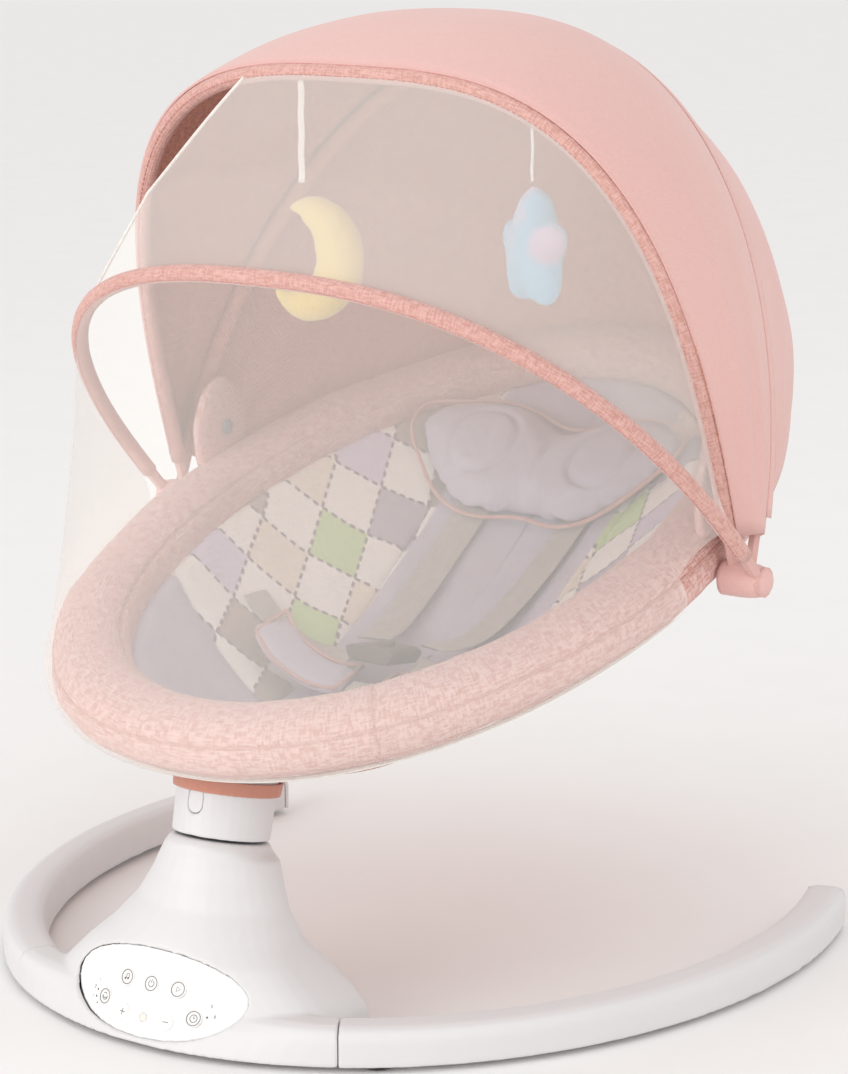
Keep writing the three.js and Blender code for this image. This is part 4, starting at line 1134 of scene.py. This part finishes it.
harness = {"strap": 24.0, "thick": 1.6, "buckleY": -42.0, "rise": 14.0}
buckleY, rise = harness["buckleY"], harness["rise"]
for side, sign in (("left", -1), ("right", 1)):
    webbing(f"{side}_shoulder_web", [(sign * 42, 128, 4), (sign * 40, 76, 5), (sign * 34, 18, 10),
                                     (sign * 24, buckleY + 22, 12 + rise)], harness["strap"], harness["thick"],
            webbingCloth, "seat", "webbing", f"{side}_shoulder_strap")
    webbing(f"{side}_waist_web", [(sign * 118, -28, 4), (sign * 80, -34, 7), (sign * 46, buckleY + 8, 8 + rise / 2),
                                  (sign * 24, buckleY + 3, 12 + rise)], harness["strap"] * 0.8, harness["thick"],
            webbingCloth, "seat", "webbing", f"{side}_waist_strap")
    pad = webbing(f"{side}_hip_cushion", [(sign * 14, buckleY - 20, 7 + rise), (sign * 34, buckleY - 24, 7 + rise),
                                          (sign * 62, buckleY - 22, 8 + rise), (sign * 84, buckleY - 12, 9 + rise)], 33.0, 4.5,
                  lavenderCloth, "seat", "pillow_fabric", f"{side}_hip_pad", puff=2.6)
    edge = []
    for p in curveThrough([(sign * 14, buckleY - 20, 11 + rise), (sign * 34, buckleY - 24, 11 + rise),
                           (sign * 62, buckleY - 22, 12 + rise), (sign * 84, buckleY - 12, 13 + rise)], 40):
        edge.append(p)
    outline = [at(p.x, p.y - 16.5, bowlHeight(p.x, p.y - 16.5) + p.z) for p in edge]
    outline += [at(p.x, p.y + 16.5, bowlHeight(p.x, p.y + 16.5) + p.z) for p in reversed(edge)]
    give(tube(f"{side}_hip_piping", outline, bindingCloth, 0.0014, 8, closed=True), "seat", "binding")
webbing("crotch_web", [(0, buckleY - 44, 6), (0, buckleY - 32, 7 + rise), (0, buckleY - 20, 9 + rise)], harness["strap"] * 0.8,
        harness["thick"], webbingCloth, "seat", "webbing", "crotch_strap")
moulding("buckle_body", "harness_buckle", bucklePlastic, "seat", "buckle", 0.0007, 6)
buckleLow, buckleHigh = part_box("harness_buckle")
buckleMid = (buckleLow + buckleHigh) / 2
pressRows = []
for lift, size in ((-0.0008, 1.0), (0.0004, 1.0), (0.0010, 0.86), (0.0012, 0.4), (0.0012, 0.03)):
    pressRows.append([Vector((buckleMid.x + 0.0065 * size * spow(math.cos(t), 0.7),
                              buckleMid.y + 0.009 * size * spow(math.sin(t), 0.7), buckleHigh.z - 0.0016 + lift))
                      for t in spread(0, 2 * math.pi, 36)[:-1]])
give(skin("buckle_press", pressRows, bucklePlastic, wrapCols=True, capped=True), "seat", "buckle")
print("harness made")

# Head pillow: two lobes with a dip between, quilted in arcs
pillow = {"y": 154.0, "half": 99.0, "deep": 47.0}


def pillowEdge(t):
    lobe = 1 + 0.07 * math.cos(2 * t) - 0.14 * math.exp(-(math.cos(t) / 0.22) ** 2) + 0.035 * math.cos(6 * t)
    return pillow["half"] * lobe * spow(math.cos(t), 0.85), pillow["deep"] * lobe * spow(math.sin(t), 0.85)


def pillowRow(scale, lift):
    row = []
    for t in spread(0, 2 * math.pi, 72)[:-1]:
        ex, ey = pillowEdge(t)
        x, y = ex * scale, pillow["y"] + ey * scale
        row.append(at(x, y, bowlHeight(x, y) + lift))
    return row


pillowPiece = skin("head_cushion", [pillowRow(0.04, 7), pillowRow(0.5, 7), pillowRow(0.88, 8), pillowRow(0.98, 13),
                                    pillowRow(0.96, 17), pillowRow(0.8, 24), pillowRow(0.5, 27), pillowRow(0.04, 28)],
                   lavenderCloth, wrapCols=True, capped=True)
stuffed("head_cushion", pillowPiece, 4.0, 0.006)
for vertex in pillowPiece.data.vertices:
    x, y = vertex.co.x * 1000, (vertex.co.y + rowShift) * 1000 - pillow["y"]
    top = smooth(14, 22, vertex.co.z * 1000 - bowlHeight(x, y + pillow["y"]))
    arcs = min(abs(math.hypot(x - 50, y + 4) - 24), abs(math.hypot(x + 50, y + 4) - 24),
               abs(x) + abs(y) * 0.2)
    vertex.co.z -= 0.0042 * top * math.exp(-(arcs / 2.4) ** 2)
if not pillowPiece.data.uv_layers:
    pillowPiece.data.uv_layers.new(name="cloth")
for polygon in pillowPiece.data.polygons:
    for loop in polygon.loop_indices:
        co = pillowPiece.data.vertices[pillowPiece.data.loops[loop].vertex_index].co
        pillowPiece.data.uv_layers[0].data[loop].uv = (co.x, co.y)
give(pillowPiece, "seat", "pillow_fabric", "head_pillow")
pillowPipe = []
for t in spread(0, 2 * math.pi, 120)[:-1]:
    ex, ey = pillowEdge(t)
    pillowPipe.append(at(ex * 1.01, pillow["y"] + ey * 1.01, bowlHeight(ex, pillow["y"] + ey) + 14))
give(tube("head_cushion_piping", pillowPipe, bindingCloth, 0.0015, 8, closed=True), "seat", "binding")

# The cloth skirt where the seat meets the collar
# the skirt's cloth carries the sling's painted shade
moulding("collar_skirt", "neck_skirt", slingClothPaintedShade, "seat", "sling_fabric", 0.0007, 3)


# Toys, sewn plush on ribbons
def toy(name, node, look, body, slotName, turn=0.0, tall=1.0):
    # turned about its cord, and stretched a little down it
    piece = nodeCopy(name, node, look)
    low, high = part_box(node)
    pivot = Vector(((low.x + high.x) / 2, (low.y + high.y) / 2, high.z))
    stretch = Matrix.Scale(tall, 4, Vector((0, 0, 1)))
    piece.data.transform(Matrix.Translation(pivot) @ Matrix.Rotation(math.radians(turn), 4, "Z") @ stretch
                         @ Matrix.Translation(-pivot))
    stuffed(name, piece, 3.0, 0.003, voxel=0.003)
    for vertex in piece.data.vertices:
        p = vertex.co * 1000
        vertex.co += vertex.normal * 0.00045 * rough(p.x, p.y, p.z, 3.0)
    give(piece, body, slotName, node)


# The moon is a crescent swept along an arc, fat in the middle and pointed at its horns.
moon = {"arc": 31.0, "from": 104.0, "to": -128.0, "fat": 15.0, "horn": 4.0}
moonLow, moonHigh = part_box("moon_toy")
moonCentre = Vector((frame["nodes"]["moon_toy"].data.vertices[0].co.x, (moonLow.y + moonHigh.y) / 2,
                     (moonLow.z + moonHigh.z) / 2))
moonCentre.x = moonHigh.x - (moon["arc"] + moon["fat"]) / 1000
moonLine, moonRows = spread(math.radians(moon["from"]), math.radians(moon["to"]), 90), []
for i, t in enumerate(moonLine):
    share = i / 90
    size = moon["horn"] + (moon["fat"] - moon["horn"]) * math.sin(math.pi * share) ** 0.75
    size *= min(1.0, 0.15 + 6 * min(share, 1 - share)) ** 0.5
    outward = Vector((math.cos(t), 0, math.sin(t)))
    spine = moonCentre + outward * (moon["arc"] / 1000)
    moonRows.append([spine + outward * (size / 1000 * math.cos(a)) + Vector((0, size / 1000 * 1.08 * math.sin(a), 0))
                     for a in spread(0, 2 * math.pi, 40)[:-1]])
moonPiece = skin("moon_plush_body", moonRows, moonPlush, wrapCols=True, capped=True)
for vertex in moonPiece.data.vertices:
    p = vertex.co * 1000
    vertex.co += (vertex.normal * 0.0009 * rough(p.x, p.y, p.z, 11)
                  + vertex.normal * 0.0003 * rough(p.x, p.y, p.z, 3))
give(moonPiece, "moon", "moon_plush", "moon_toy")
toy("star_plush_body", "star_toy", starPlush, "star", "star_plush", turn=-30.0, tall=1.08)


def hanger(name, node, width, body, slotName):
    low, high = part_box(node)
    middleX, middleY = (low.x + high.x) / 2, (low.y + high.y) / 2
    rows = []
    for z in spread(low.z, high.z, 30):
        wave = 0.0004 * math.sin(z * 260)
        rows.append([Vector((middleX + width / 2000 * spow(math.cos(t), 0.5),
                             middleY + wave + 0.0006 * math.sin(t), z)) for t in spread(0, 2 * math.pi, 16)[:-1]])
    give(skin(name, rows, hemCloth, wrapCols=True, capped=True), body, slotName, node)


hanger("moon_band", "moon_ribbon", 5.0, "moon", "ribbon")
hanger("star_band", "star_cord", 2.2, "star", "ribbon")
print("toys made")

# Stage, light and camera
floorMesh = bpy.data.meshes.new("floor")
floorCorners = [Vector((x, y, -0.0005)) for x, y in ((-60, -60), (60, -60), (60, 60), (-60, 60))]
floorMesh.from_pydata(floorCorners, [], [(0, 1, 2, 3)])
floorLook = moulded("floorPaper", shade("F6F5F4"), 0.9)
link("floor", floorMesh, floorLook)

world = bpy.data.worlds.new("studio")
world.use_nodes = True
world.node_tree.nodes["Background"].inputs[0].default_value = (1.0, 0.995, 0.99, 1)
world.node_tree.nodes["Background"].inputs[1].default_value = 0.9
bpy.context.scene.world = world


def lamp(name, place, size, power, target=Vector((0, 0, 0.28))):
    light = bpy.data.lights.new(name, "AREA")
    light.size = size
    light.energy = power
    holder = bpy.data.objects.new(name, light)
    holder.location = place
    holder.rotation_euler = (target - Vector(place)).to_track_quat("-Z", "Y").to_euler()
    bpy.context.scene.collection.objects.link(holder)


lamp("keyLight", (-1.0, -2.6, 0.9), 2.0, 26)
lamp("fillLight", (2.2, -1.6, 1.1), 2.2, 12)
lamp("topLight", (0.2, 0.4, 2.8), 2.4, 3)

view = {"azimuth": 35.0, "elevation": 12.4, "distance": 2.2707, "target": (0.0079, -0.0100, 0.2681),
        "lens": 114.7}
azimuth, elevation = math.radians(view["azimuth"]), math.radians(view["elevation"])
back = Vector((math.sin(azimuth) * math.cos(elevation), -math.cos(azimuth) * math.cos(elevation),
               math.sin(elevation)))
cameraData = bpy.data.cameras.new("camera")
cameraData.lens = view["lens"]
cameraData.sensor_width = 36
camera = bpy.data.objects.new("camera", cameraData)
camera.location = Vector(view["target"]) + back * view["distance"]
camera.rotation_mode = "QUATERNION"
camera.rotation_quaternion = (-back).to_track_quat("-Z", "Y")
bpy.context.scene.collection.objects.link(camera)
bpy.context.scene.camera = camera
bpy.context.scene.view_settings.view_transform = "Standard"

print("scene ready")
